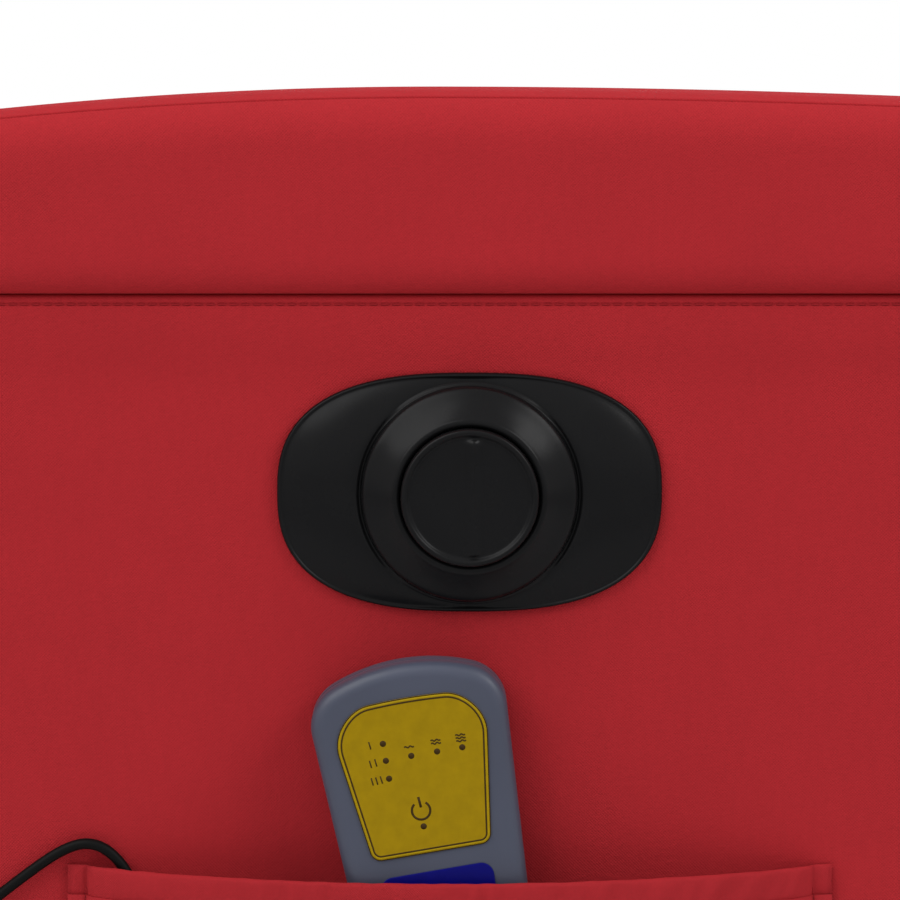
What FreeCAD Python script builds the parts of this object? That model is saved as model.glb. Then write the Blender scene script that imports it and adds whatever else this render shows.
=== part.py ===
"""A manual recliner with vibration massage: lazy-tong footrest, reclining back, release knob
and a wired remote in the pocket on the sitter's right side. Millimetres, +Z up, the sitter faces -Y,
and the origin is on the floor under the middle of the chair."""

import FreeCAD, Part
import math
import os
import re
import Sketcher
from FreeCAD import Placement, Rotation, Vector

DIMENSIONS = [
    ("seat_gap", 540, "clear width between the two arms"),
    ("arm_width", 110, "width of an arm box with its covers"),
    ("arm_length", 700, "length of an arm from front to rear"),
    ("arm_front", -408, "Y of the front of the arm box"),
    ("arm_bottom", 60, "height of the underside of the arm box"),
    ("arm_seam", 555, "height of the seam under the arm pad"),
    ("arm_crest", 618.5, "height of the crest of the arm pad"),
    ("pad_overhang", 8, "arm pad beyond the covers, on each side"),
    ("crest_y", -76, "Y of the crest of the arm pad"),
    ("crown_front", 3800, "radius of the arm pad's top in front of its crest"),
    ("crown_rear", 1374, "radius of the arm pad's top behind its crest"),
    ("crown_long", 136, "length of the arm pad's rear crown, where its top runs straight on"),
    ("pad_round", 16, "radius of the arm pad's long edges"),
    ("board", 12, "thickness of the plywood boards"),
    ("skin", 12, "foam and fabric on the outside of an arm"),
    ("inner_skin", 6, "foam and fabric on the inside of an arm"),
    ("rail_height", 40, "height of the base's cross rails"),
    ("foot_height", 60, "height of a foot"),
    ("foot_top", 52, "width of a foot at the top"),
    ("foot_base", 38, "width of a foot at the floor"),
    ("foot_inset", 60, "foot's centre from the end of the arm"),
    ("seat_top", 488, "height of the crest of the seat cushion"),
    ("seat_depth", 505, "length of the seat cushion"),
    ("seat_nose", -414, "Y of the front of the seat cushion"),
    ("seat_thickness", 118, "thickness of the seat cushion"),
    ("cushion_gap", 4, "cushion to the arm beside it"),
    ("seat_rail_wide", 30, "width of a seat rail"),
    ("seat_rail_high", 24, "height of a seat rail"),
    ("seat_rail_in", 55, "outside of a side rail from the arm"),
    ("strap_wide", 50, "width of a seat strap"),
    ("strap_thick", 1.5, "thickness of a seat strap"),
    ("strap_pitch", 80, "pitch of the seat straps"),
    ("plate", 3, "thickness of the mechanism's side plates"),
    ("link_width", 22, "width of a scissor link"),
    ("link_thick", 3, "thickness of a scissor link"),
    ("link_gap", 2, "gap between two layers of links"),
    ("half_link", 105, "a link's middle pivot to its end pivot"),
    ("pin_radius", 5, "radius of the pivot pins"),
    ("pin_play", 0.06, "radial clearance of a pin in its hole"),
    ("pin_head", 8, "radius of a pin's head"),
    ("head_gap", 0.3, "clearance beside a pin's head"),
    ("tong_y", -168, "Y of the scissor's fixed pivot"),
    ("tong_z", 215, "height of the scissor's fixed pivot"),
    ("tong_tilt", 8, "rise of the scissor's line, in degrees"),
    ("fold_closed", 75, "half angle of the folded scissor, in degrees"),
    ("tube_radius", 9, "radius of the drive tube between the sides"),
    ("footrest_back", -356, "Y of the back of the footrest board"),
    ("footrest_low", 72, "height of the footrest's lower edge"),
    ("footrest_tall", 266, "height of the footrest pad"),
    ("footrest_board_thick", 15, "thickness of the footrest board"),
    ("footrest_pad_thick", 54, "thickness of the footrest pad"),
    ("footrest_side", 6, "footrest pad to the line of the arm's inside"),
    ("recline_y", 212, "Y of the back's pivot"),
    ("recline_z", 330, "height of the back's pivot"),
    ("lean", 16, "lean of the back at rest, in degrees"),
    ("back_board", 18, "thickness of the back frame's boards"),
    ("back_low", -40, "lower end of the back frame from its pivot"),
    ("back_high", 668, "upper end of the back frame from its pivot"),
    ("back_width", 476, "width of the back frame"),
    ("back_cover_wide", 512, "width of the back's cover"),
    ("back_cover_thick", 14, "foam and fabric behind the back frame"),
    ("upright", 60, "width of a back frame upright"),
    ("cushion_thick", 132, "thickness of the back cushions"),
    ("lumbar_low", 82, "lower edge of the lumbar cushion from the pivot"),
    ("lumbar_tall", 226, "height of the lumbar cushion"),
    ("mid_tall", 180, "height of the middle cushion"),
    ("head_tall", 212, "height of the head cushion"),
    ("cushion_joint", 1, "gap between two back cushions"),
    ("motor_radius", 26, "radius of a vibration motor's housing"),
    ("motor_deep", 26, "depth of a vibration motor's housing"),
    ("motor_wall", 2, "wall of a vibration motor's housing"),
    ("motor_play", 0.6, "a motor's rotor to its housing"),
    ("motor_half", 95, "a motor from the chair's middle plane"),
    ("handle_y", -88, "Y of the release knob's axis"),
    ("handle_z", 493.6, "height of the release knob's axis"),
    ("plate_wide", 120, "width of the oval plate round the knob"),
    ("plate_tall", 75, "height of the oval plate"),
    ("plate_edge", 2, "edge of the oval plate"),
    ("plate_rise", 6, "rise of the oval plate in the middle"),
    ("collar_foot", 34.5, "radius of the collar at its foot"),
    ("collar_lip", 23, "radius of the collar's lip"),
    ("collar_high", 14.5, "height of the collar above the cover"),
    ("knob_radius", 22.2, "radius of the knob"),
    ("knob_dish", 19.4, "radius of the knob's dished face"),
    ("knob_high", 13.2, "height of the knob's rim above the cover"),
    ("dish_deep", 3.4, "depth of the knob's dished face"),
    ("bar_wide", 5.6, "width of the finger bar across the knob"),
    ("bar_high", 2.6, "height of the finger bar"),
    ("handle_hole", 27, "radius of the hole in the cover and board"),
    ("housing_wall", 2, "wall of the cable housing"),
    ("drum_radius", 16, "radius of the cable drum"),
    ("spindle_radius", 4, "radius of the knob's spindle"),
    ("cable_radius", 2.5, "radius of the release cable"),
    ("pocket_wide", 241, "width of the side pocket"),
    ("pocket_rear", 38.7, "Y of the pocket's rear edge"),
    ("pocket_low", 190, "height of the pocket's lower edge"),
    ("pocket_mouth", 374, "height of the pocket's mouth"),
    ("pocket_bulge", 21.4, "bulge of the pocket's mouth from the cover"),
    ("pocket_foot", 9, "bulge of the pocket at its lower edge"),
    ("pocket_cloth", 1.5, "thickness of the pocket's cloth"),
    ("remote_y", -76.4, "Y of the remote's datum"),
    ("remote_z", 383.2, "height of the remote's datum"),
    ("remote_tilt", 9.8, "lean of the remote to the rear, in degrees"),
    ("remote_off", 0.8, "remote to the arm's cover"),
    ("remote_thick", 17, "thickness of the remote"),
    ("remote_front", 9, "thickness of the remote's front shell"),
    ("remote_half", 30.7, "half the remote's width at the head"),
    ("remote_foot", 22.2, "half the remote's width at the foot"),
    ("remote_up", 59.4, "top of the remote above its datum"),
    ("remote_down", 116, "foot of the remote under its datum"),
    ("remote_wall", 2, "wall of the remote's shells"),
    ("remote_round", 4, "radius of the remote's front edge"),
    ("overlay", 0.5, "thickness of the keypad overlays"),
    ("overlay_half", 25, "half width of the upper overlay at its top"),
    ("overlay_foot", 18.3, "half width of the overlays at the foot"),
    ("overlay_tall", 49.3, "height of the upper overlay"),
    ("overlay_step", 6, "gap between the two overlays"),
    ("lower_overlay_tall", 52, "height of the lower overlay"),
    ("key_radius", 5, "radius of a key under the overlay"),
    ("key_high", 3.4, "height of a key"),
    ("key_play", 0.3, "key to the hole in the front shell"),
    ("cord_diameter", 3.4, "diameter of the remote's cord"),
    ("relief_long", 16, "length of the cord's strain relief"),
    ("grommet_in", 30, "cord's grommet from the arm's rear end"),
    ("grommet_z", 232, "height of the cord's grommet"),
    ("grommet_radius", 7, "radius of the grommet's flange"),
    ("box_wide", 130, "width of the control box"),
    ("box_deep", 80, "depth of the control box"),
    ("box_high", 36, "height of the control box"),
    ("inlet_radius", 5.5, "outer radius of the power inlet"),
    ("inlet_bore", 3.2, "bore radius of the power inlet"),
    ("inlet_long", 14, "length of the power inlet"),
]
ALIASES = {alias for alias, _, _ in DIMENSIONS}

doc = FreeCAD.newDocument("MassageChair")
sheet = doc.addObject("Spreadsheet::Sheet", "Dims")
for row, (alias, value, note) in enumerate(DIMENSIONS, 1):
    sheet.set(f"A{row}", alias)
    sheet.set(f"B{row}", str(value))
    sheet.set(f"C{row}", note)
    sheet.setAlias(f"B{row}", alias)
doc.recompute()

NODES = {}


def size(alias):
    """A driving dimension, read from the sheet."""
    return float(sheet.get(alias))


def formula(text):
    """The text with each dimension's name written as a reference to the sheet."""
    return re.sub(r"[a-z_]+", lambda m: "Dims." + m.group(0) if m.group(0) in ALIASES else m.group(0), text)


def bind(item, **values):
    """Ties properties of an item to formulas. A double underscore in a name stands for a dot."""
    for name, text in values.items():
        item.setExpression(name.replace("__", "."), formula(str(text)))


def place(item, x="0", y="0", z="0"):
    """Ties an item's place to three formulas."""
    bind(item, Placement__Base__x=x, Placement__Base__y=y, Placement__Base__z=z)
    return item


def node(name, item):
    """Makes an item a sub-part under this name."""
    item.Label = name
    NODES[name] = item
    return item


def board(name, x, y, z, dx, dy, dz):
    """A board with its lowest corner at (x, y, z), all sizes as formulas."""
    item = doc.addObject("Part::Box", name)
    bind(item, Length=dx, Width=dy, Height=dz)
    return place(item, x, y, z)


def rod(name, radius, height, x="0", y="0", z="0", along="Z"):
    """A cylinder from (x, y, z) along an axis."""
    item = doc.addObject("Part::Cylinder", name)
    turn = {"Z": Rotation(), "X": Rotation(Vector(0, 1, 0), 90), "Y": Rotation(Vector(1, 0, 0), -90)}[along]
    item.Placement = Placement(Vector(), turn)
    bind(item, Radius=radius, Height=height)
    return place(item, x, y, z)


def together(kind, name, items):
    """A fusion or a group of separate solids."""
    item = doc.addObject({"fuse": "Part::MultiFuse", "group": "Part::Compound"}[kind], name)
    if kind == "fuse":
        item.Shapes = items
    else:
        item.Links = items
    return item


def cut(name, base, tool):
    """What is left of base outside tool."""
    item = doc.addObject("Part::Cut", name)
    item.Base = base
    item.Tool = tool
    return item


def mirrored(name, source):
    """The same piece on the chair's other side."""
    item = doc.addObject("Part::Mirroring", name)
    item.Source = source
    item.Normal = Vector(1, 0, 0)
    return item


def both_sides(name, source):
    """A node that holds a piece and its mirror image."""
    return node(name, together("group", name, [source, mirrored(name + "_mirror", source)]))


def fixed(name, shape):
    """A sub-part whose shape is worked out from the sheet in this file."""
    item = doc.addObject("Part::Feature", name)
    item.Shape = shape
    return node(name, item)


def plane_sketch(body, name, role):
    """A sketch on one of its own body's origin planes."""
    sketch = body.newObject("Sketcher::SketchObject", name)
    plane = next(f for f in body.Origin.OriginFeatures if f.Role == role)
    sketch.AttachmentSupport = [(plane, "")]
    sketch.MapMode = "FlatFace"
    return sketch


def named(sketch, constraint, name, text):
    """Adds a dimension to a sketch and ties it to a formula."""
    index = sketch.addConstraint(constraint)
    sketch.renameConstraint(index, name)
    sketch.setExpression("Constraints." + name, formula(text))


def circle_at(sketch, name, radius, along):
    """A circle on the sketch's X axis, at a distance from the origin that a formula gives."""
    index = sketch.addGeometry(Part.Circle(Vector(1, 0, 0), Vector(0, 0, 1), 1), False)
    if along == "0":
        sketch.addConstraint(Sketcher.Constraint("Coincident", index, 3, -1, 1))
    else:
        sketch.addConstraint(Sketcher.Constraint("PointOnObject", index, 3, -1))
        named(sketch, Sketcher.Constraint("DistanceX", -1, 1, index, 3, 1.0), name + "_along", along)
    named(sketch, Sketcher.Constraint("Radius", index, 1.0), name + "_radius", radius)


def pad(body, name, sketch, length, offset=None):
    """A pad of a sketch, its length a formula."""
    item = body.newObject("PartDesign::Pad", name)
    item.Profile = sketch
    bind(item, Length=length)
    if offset is not None:
        sketch.setExpression("AttachmentOffset.Base.z", formula(offset))
    sketch.Visibility = False
    return item


# Arms: a plywood box, its cover, and a boxed pad on top

ARM_IN = "seat_gap / 2"
ARM_OUT = "(seat_gap / 2 + arm_width)"
BOX_IN = f"({ARM_IN} + inner_skin)"
BOX_OUT = f"({ARM_OUT} - skin)"
BOX_TOP = "arm_seam"
ARM_REAR = "(arm_front + arm_length)"


def arm_frame(name, with_handle):
    """The plywood box of the left arm: two sides, a front, a rear and a top board."""
    long, tall = "arm_length - 2 * skin", f"{BOX_TOP} - arm_bottom - board"
    y, z = "arm_front + skin", "arm_bottom"
    inner = board(name + "_inner", BOX_IN, y, z, "board", long, tall)
    outer = board(name + "_outer", f"{BOX_OUT} - board", y, z, "board", long, tall)
    if with_handle:
        hole = rod(name + "_hole", "handle_hole", "4 * board", f"{BOX_OUT} - 3 * board", "handle_y", "handle_z",
                   "X")
        pilots = [
            rod(f"{name}_pilot{side}", "1.55", "8", f"{BOX_OUT} - board - 1",
                f"handle_y {side} (handle_hole + 4.5)", "handle_z", "X")
            for side in ("+", "-")
        ]
        outer = cut(name + "_outer_holed", outer, together("fuse", name + "_holes", [hole] + pilots))
    across = "arm_width - skin - inner_skin - 2 * board"
    front = board(name + "_front", f"{BOX_IN} + board", y, z, across, "board", tall)
    rear = board(name + "_rear", f"{BOX_IN} + board", f"{ARM_REAR} - skin - board", z, across, "board", tall)
    top = board(name + "_top", BOX_IN, y, f"{BOX_TOP} - board", "arm_width - skin - inner_skin", long, "board")
    base = board(name + "_base", f"{BOX_IN} + board", f"{y} + board", z, across, f"{long} - 2 * board", "board")
    return together("group", name, [inner, outer, front, rear, top, base])


def arm_cover(name, with_handle):
    """Foam and fabric of the left arm: outer, inner, front and rear panels, sewn at their edges."""
    tall, z = f"{BOX_TOP} - arm_bottom", "arm_bottom"
    outer = board(name + "_outer", BOX_OUT, "arm_front", z, "skin", "arm_length", tall)
    if with_handle:
        hole = rod(name + "_hole", "handle_hole", "3 * skin", f"{BOX_OUT} - skin", "handle_y", "handle_z", "X")
        outer = cut(name + "_outer_holed", outer, hole)
        lead = rod(name + "_lead", "cord_diameter", "3 * skin", f"{BOX_OUT} - skin",
                   f"{ARM_REAR} - grommet_in", "grommet_z", "X")
        outer = cut(name + "_outer_lead", outer, lead)
    inner = board(name + "_inner", ARM_IN, "arm_front", z, "inner_skin", "arm_length", tall)
    across = "arm_width - skin - inner_skin"
    front = board(name + "_front", BOX_IN, "arm_front", z, across, "skin", tall)
    rear = board(name + "_rear", BOX_IN, f"{ARM_REAR} - skin", z, across, "skin", tall)
    return together("group", name, [outer, inner, front, rear])


def arm_pad(name):
    """The boxed pad of the left arm: its top falls from a crest to the rear, and its long edges are round."""
    body = doc.addObject("PartDesign::Body", name)
    half, rise = size("arm_length") / 2 + size("pad_overhang"), size("arm_crest") - size("arm_seam")
    crest = size("crest_y") - size("arm_front") - size("arm_length") / 2
    front, rear, long = size("crown_front"), size("crown_rear"), size("crown_long")
    front_end = rise - front + math.sqrt(front**2 - (crest + half) ** 2)
    turn = math.asin(long / rear)
    join = (crest + long, rise - rear + rear * math.cos(turn))
    rear_end = join[1] - (half - join[0]) * math.tan(turn)
    sketch = plane_sketch(body, name + "_profile", "YZ_Plane")
    ends = [(-half, 0), (half, 0), (half, rear_end), join, (crest, rise), (-half, front_end)]
    for a, b in ((0, 1), (1, 2), (2, 3)):
        sketch.addGeometry(Part.LineSegment(Vector(*ends[a], 0), Vector(*ends[b], 0)), False)
    for radius, low, high in ((rear, join, (crest, rise)), (front, (crest, rise), (-half, front_end))):
        along = (low[0] + high[0]) / 2
        top = rise - radius + math.sqrt(radius**2 - (along - crest) ** 2)
        sketch.addGeometry(Part.Arc(Vector(*low, 0), Vector(along, top, 0), Vector(*high, 0)), False)
    sketch.addGeometry(Part.LineSegment(Vector(*ends[5], 0), Vector(*ends[0], 0)), False)
    for a, b in ((0, 1), (1, 2), (3, 4), (4, 5), (5, 0)):
        sketch.addConstraint(Sketcher.Constraint("Coincident", a, 2, b, 1))
    sketch.addConstraint(Sketcher.Constraint("Tangent", 2, 2, 3, 1))
    sketch.addConstraint(Sketcher.Constraint("PointOnObject", 0, 1, -1))
    sketch.addConstraint(Sketcher.Constraint("Symmetric", 0, 1, 0, 2, -1, 1))
    for line in (1, 5):
        sketch.addConstraint(Sketcher.Constraint("Vertical", line))
    for arc in (3, 4):
        sketch.addConstraint(Sketcher.Constraint("Vertical", arc, 3, 3, 2))
    named(sketch, Sketcher.Constraint("DistanceX", 0, 1, 0, 2, 2 * half), "long",
          "arm_length + 2 * pad_overhang")
    named(sketch, Sketcher.Constraint("DistanceY", 0, 1, 3, 2, rise), "rise", "arm_crest - arm_seam")
    named(sketch, Sketcher.Constraint("DistanceX", 0, 1, 3, 2, crest + half), "crest",
          "crest_y - arm_front + pad_overhang")
    named(sketch, Sketcher.Constraint("Radius", 3, rear), "rear_crown", "crown_rear")
    named(sketch, Sketcher.Constraint("Radius", 4, front), "front_crown", "crown_front")
    named(sketch, Sketcher.Constraint("DistanceX", 3, 2, 3, 1, long), "rear_long", "crown_long")
    block = pad(body, name + "_block", sketch, "arm_width + 2 * pad_overhang")
    doc.recompute()
    long_edges = [
        f"Edge{i}"
        for i, edge in enumerate(block.Shape.Edges, 1)
        if edge.BoundBox.ZMin > 1 and edge.BoundBox.YLength > long / 2
    ]
    rounded = body.newObject("PartDesign::Fillet", name + "_round")
    rounded.Base = (block, long_edges)
    bind(rounded, Radius="pad_round")
    place(body, f"{ARM_IN} - pad_overhang", "arm_front + arm_length / 2", "arm_seam")
    return body


node("arm_frame_left", arm_frame("frame_left", False))
node("arm_frame_right", mirrored("frame_right_mirror", arm_frame("frame_right", True)))
node("arm_cover_left", arm_cover("cover_left", False))
node("arm_cover_right", mirrored("cover_right_mirror", arm_cover("cover_right", True)))
left_pad = node("arm_top_pad_left", arm_pad("pad_left"))
node("arm_top_pad_right", mirrored("pad_right_mirror", left_pad))

# Base: two cross rails between the arms, and four feet under them


def feet():
    """Four square tapered plastic feet under the corners of the arms."""
    made = []
    for side in ("", "-"):
        for end, y in (("front", "arm_front + foot_inset"), ("rear", f"{ARM_REAR} - foot_inset")):
            foot = doc.addObject("Part::Wedge", f"foot_{end}{len(made)}")
            foot.Placement = Placement(Vector(), Rotation(Vector(1, 0, 0), 90))
            low, high = "foot_base / 2", "foot_top / 2"
            bind(foot, Xmin=f"0 - {low}", Xmax=low, Zmin=f"0 - {low}", Zmax=low, Ymin="0", Ymax="foot_height",
                 X2min=f"0 - {high}", X2max=high, Z2min=f"0 - {high}", Z2max=high)
            made.append(place(foot, f"{side}({ARM_IN} + arm_width / 2)", y, "0"))
    return together("group", "feet_group", made)


def cross_rails():
    """A front and a rear board that tie the two arms together."""
    across = "seat_gap"
    thick = "board * 1.5"
    left = "-seat_gap / 2"
    front = board("rail_front", left, "footrest_back + 14", "arm_bottom", across, thick, "rail_height")
    rear = board("rail_rear", left, f"{ARM_REAR} - 60", "arm_bottom", across, thick, "rail_height * 2")
    return together("group", "rails_group", [front, rear])


node("feet", feet())
node("base_cross_rails", cross_rails())

# Mechanism: side plates, and a lazy-tong of four links on each side


def side_plate():
    """The left side plate, with the fixed pin of the scissor and the pin of the back, which it carries."""
    body = doc.addObject("PartDesign::Body", "plate_body")
    sketch = plane_sketch(body, "plate_outline", "YZ_Plane")
    corners = [(-34, -30), (30, -34), (400, 60), (404, 140), (300, 153), (120, 153), (-34, 153)]
    count = len(corners)
    for i, (y, z) in enumerate(corners):
        after = corners[(i + 1) % count]
        sketch.addGeometry(Part.LineSegment(Vector(y, z, 0), Vector(*after, 0)), False)
    for i in range(count):
        sketch.addConstraint(Sketcher.Constraint("Coincident", i, 2, (i + 1) % count, 1))
    reach = "(recline_y - tong_y)"
    rise = "(recline_z - tong_z)"
    wheres = [
        ("-34", "-30"), ("30", "-34"), (f"{reach} + 20", f"{rise} - 55"), (f"{reach} + 24", f"{rise} + 25"),
        (f"{reach} - 80", f"{rise} + 38"), ("120", f"{rise} + 38"), ("-34", f"{rise} + 38"),
    ]
    for i, (y, z) in enumerate(wheres):
        named(sketch, Sketcher.Constraint("DistanceX", -1, 1, i, 1, corners[i][0]), f"y{i}", y)
        named(sketch, Sketcher.Constraint("DistanceY", -1, 1, i, 1, corners[i][1]), f"z{i}", z)
    pad(body, "plate_pad", sketch, "plate")
    place(body, f"{ARM_IN} - plate", "tong_y", "tong_z")
    reach_in = "2 * (link_thick + link_gap)"
    pin_end = f"{ARM_IN} - plate - {reach_in} - head_gap"
    pin = rod("tong_pin", "pin_radius", f"{reach_in} + head_gap + plate", pin_end, "tong_y", "tong_z", "X")
    head = rod("tong_pin_head", "pin_head", "1.5", f"{pin_end} - 1.5", "tong_y", "tong_z", "X")
    back_pin = rod("back_pin", "pin_radius", "plate + link_gap + 2 * link_thick",
                   f"{ARM_IN} - plate - link_gap - 2 * link_thick", "recline_y", "recline_z", "X")
    return together("fuse", "plate_and_pins", [body, pin, head, back_pin])


left_plate = node("side_plate_left", side_plate())
node("side_plate_right", mirrored("plate_mirror", left_plate))

LAYER = "(seat_gap / 2 - plate - {0} * (link_thick + link_gap))"
FOLD = "fold_closed"
FRONT_REACH = "2 * half_link * cos(fold_closed * 1deg)"


def link_bar(name, layer, middle_hole, ends, centre_y, centre_z, angle, half="half_link"):
    """A flat bar with round ends. ends names which of its far and near end holes exist; angle is about X."""
    body = doc.addObject("PartDesign::Body", name)
    sketch = plane_sketch(body, name + "_outline", "YZ_Plane")
    reach, wide = 100.0, 11.0
    sketch.addGeometry(Part.LineSegment(Vector(-reach, wide, 0), Vector(reach, wide, 0)), False)
    sketch.addGeometry(Part.LineSegment(Vector(reach, -wide, 0), Vector(-reach, -wide, 0)), False)
    for side in (1, -1):
        low, tip, high = Vector(reach, wide, 0), Vector(reach + wide, 0, 0), Vector(reach, -wide, 0)
        sketch.addGeometry(Part.Arc(low * side, tip * side, high * side), False)
    for a, pa, b, pb in ((0, 2, 2, 2), (2, 1, 1, 1), (1, 2, 3, 2), (3, 1, 0, 1)):
        sketch.addConstraint(Sketcher.Constraint("Tangent", a, pa, b, pb))
    sketch.addConstraint(Sketcher.Constraint("Horizontal", 0))
    sketch.addConstraint(Sketcher.Constraint("Symmetric", 2, 3, 3, 3, -1, 1))
    named(sketch, Sketcher.Constraint("DistanceX", 3, 3, 2, 3, 2 * reach), "span", f"2 * {half}")
    named(sketch, Sketcher.Constraint("Radius", 2, wide), "round", "link_width / 2")
    hole = "pin_radius + pin_play"
    if middle_hole:
        circle_at(sketch, "middle", hole, "0")
    if "near" in ends:
        circle_at(sketch, "near", hole, f"0 - {half}")
    if "far" in ends:
        circle_at(sketch, "far", hole, half)
    pad(body, name + "_pad", sketch, "link_thick")
    body.Placement = Placement(Vector(), Rotation(Vector(1, 0, 0), 10))
    place(body, LAYER.format(layer), centre_y, centre_z)
    bind(body, Placement__Rotation__Angle=angle)
    return body


TONG_COS = "cos(tong_tilt * 1deg)"
TONG_SIN = "sin(tong_tilt * 1deg)"


def along_tong(forward, above):
    """Formulas for Y and Z of a point forward along the scissor's line and above it."""
    y = f"tong_y - ({forward}) * {TONG_COS} + ({above}) * {TONG_SIN}"
    z = f"tong_z + ({forward}) * {TONG_SIN} + ({above}) * {TONG_COS}"
    return y, z


FOLD_COS = "half_link * cos(fold_closed * 1deg)"
FOLD_SIN = "half_link * sin(fold_closed * 1deg)"
MIDDLE = along_tong(f"2 * {FOLD_COS}", "0")
FIRST_UPPER = along_tong(FOLD_COS, FOLD_SIN)
FIRST_LOWER = along_tong(FOLD_COS, f"0 - {FOLD_SIN}")
FRONT_UPPER = along_tong(f"3 * {FOLD_COS}", FOLD_SIN)
FRONT_LOWER = along_tong(f"3 * {FOLD_COS}", f"0 - {FOLD_SIN}")
RISING = "(180 - tong_tilt - fold_closed) * 1deg"
FALLING = "(180 - tong_tilt + fold_closed) * 1deg"


def peg(name, layer_from, layer_to, where, head=True):
    """A rivet from one layer of links into another, with a head past it. Layer 1 is next to the plate."""
    y, z = where
    step = "(link_thick + link_gap)"
    root = LAYER.format(layer_from)
    if layer_to > layer_from:
        low = f"{LAYER.format(layer_to)} - head_gap"
        shank = rod(name + "_shank", "pin_radius", f"{root} + link_thick - ({low})", low, y, z, "X")
        cap = rod(name + "_head", "pin_head", "1.2", f"{low} - 1.2", y, z, "X")
    else:
        top = f"{LAYER.format(layer_to)} + link_thick + head_gap"
        shank = rod(name + "_shank", "pin_radius", f"{top} - {root}", root, y, z, "X")
        cap = rod(name + "_head", "pin_head", "1.2", top, y, z, "X")
    return [shank, cap] if head else [shank]


def scissor():
    """The four links of each side. The rear pair turns on the plate's pin, and each rivet is one link's own."""
    rear_up = link_bar("rear_up", 1, True, [], "tong_y", "tong_z", RISING)
    up_parts = [rear_up] + peg("rear_up_rivet", 1, 2, FIRST_UPPER)
    both_sides("scissor_drive_links", together("fuse", "rear_up_link", up_parts))
    spot = along_tong(f"{FOLD_COS} / 2", f"0 - {FOLD_SIN} / 2")
    rear_down = link_bar("rear_down", 2, False, ["near"], *spot, FALLING, "half_link / 2")
    down_parts = [rear_down] + peg("rear_down_rivet", 2, 1, FIRST_LOWER)
    both_sides("scissor_rear_links", together("fuse", "rear_down_link", down_parts))
    front_down = link_bar("front_down", 2, False, ["near"], *MIDDLE, FALLING)
    front_parts = [front_down] + peg("middle_rivet", 2, 1, MIDDLE)
    both_sides("scissor_front_down_links", together("fuse", "front_down_link", front_parts))
    front_up = link_bar("front_up", 1, True, ["near"], *MIDDLE, RISING)
    bracket_face = LAYER.format(3) + " + link_thick + head_gap"
    spacer = rod("footrest_spacer", "pin_head", f"{LAYER.format(1)} - ({bracket_face})", bracket_face,
                 *FRONT_UPPER, "X")
    front_parts = [front_up, spacer] + peg("footrest_rivet", 1, 3, FRONT_UPPER)
    both_sides("scissor_front_up_links", together("fuse", "front_up_link", front_parts))
    tail_y, tail_z = along_tong(f"0 - {FOLD_COS}", f"0 - {FOLD_SIN}")
    tube_in = LAYER.format(1)
    outer = rod("tube_outer", "tube_radius", f"2 * {tube_in}", f"0 - {tube_in}", tail_y, tail_z, "X")
    bore = rod("tube_bore", "tube_radius - 1.5", f"2 * {tube_in} + 2", f"0 - {tube_in} - 1", tail_y, tail_z,
               "X")
    node("drive_tube", cut("tube", outer, bore))


scissor()


def footrest():
    """The footrest's two brackets, its board and its pad."""
    pivot_y, pivot_z = FRONT_UPPER
    body = doc.addObject("PartDesign::Body", "bracket_body")
    sketch = plane_sketch(body, "bracket_outline", "YZ_Plane")
    board_y = f"(footrest_back - ({pivot_y}))"
    corners = [(12, -12), (12, 12), (-20, 12), (-121, -10), (-121, -90), (-90, -90)]
    wheres = [("12", "0 - 12"), ("12", "12"), ("0 - 20", "12"), (board_y, "0 - 10"), (board_y, "0 - 92"),
              ("0 - 91", "0 - 92")]
    count = len(corners)
    for i, (y, z) in enumerate(corners):
        after = corners[(i + 1) % count]
        sketch.addGeometry(Part.LineSegment(Vector(y, z, 0), Vector(*after, 0)), False)
    for i in range(count):
        sketch.addConstraint(Sketcher.Constraint("Coincident", i, 2, (i + 1) % count, 1))
    for i, (y, z) in enumerate(wheres):
        named(sketch, Sketcher.Constraint("DistanceX", -1, 1, i, 1, corners[i][0]), f"y{i}", y)
        named(sketch, Sketcher.Constraint("DistanceY", -1, 1, i, 1, corners[i][1]), f"z{i}", z)
    circle_at(sketch, "pivot", "pin_radius + pin_play", "0")
    pad(body, "bracket_pad", sketch, "link_thick")
    place(body, LAYER.format(3), pivot_y, pivot_z)
    flange = board("bracket_flange", LAYER.format(3) + " - 27", "footrest_back", f"{pivot_z} - 92",
                   "27", "link_thick", "82")
    both_sides("footrest_brackets", together("fuse", "bracket", [body, flange]))
    wide = "seat_gap - 2 * footrest_side"
    front = "footrest_back - footrest_board_thick"
    panel = board("footrest_panel", f"10 - ({wide}) / 2", front, "footrest_low + 10", f"{wide} - 20",
                  "footrest_board_thick", "footrest_tall - 20")
    node("footrest_board", panel)


footrest()

# Cushions: lofts through rounded outlines


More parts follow.
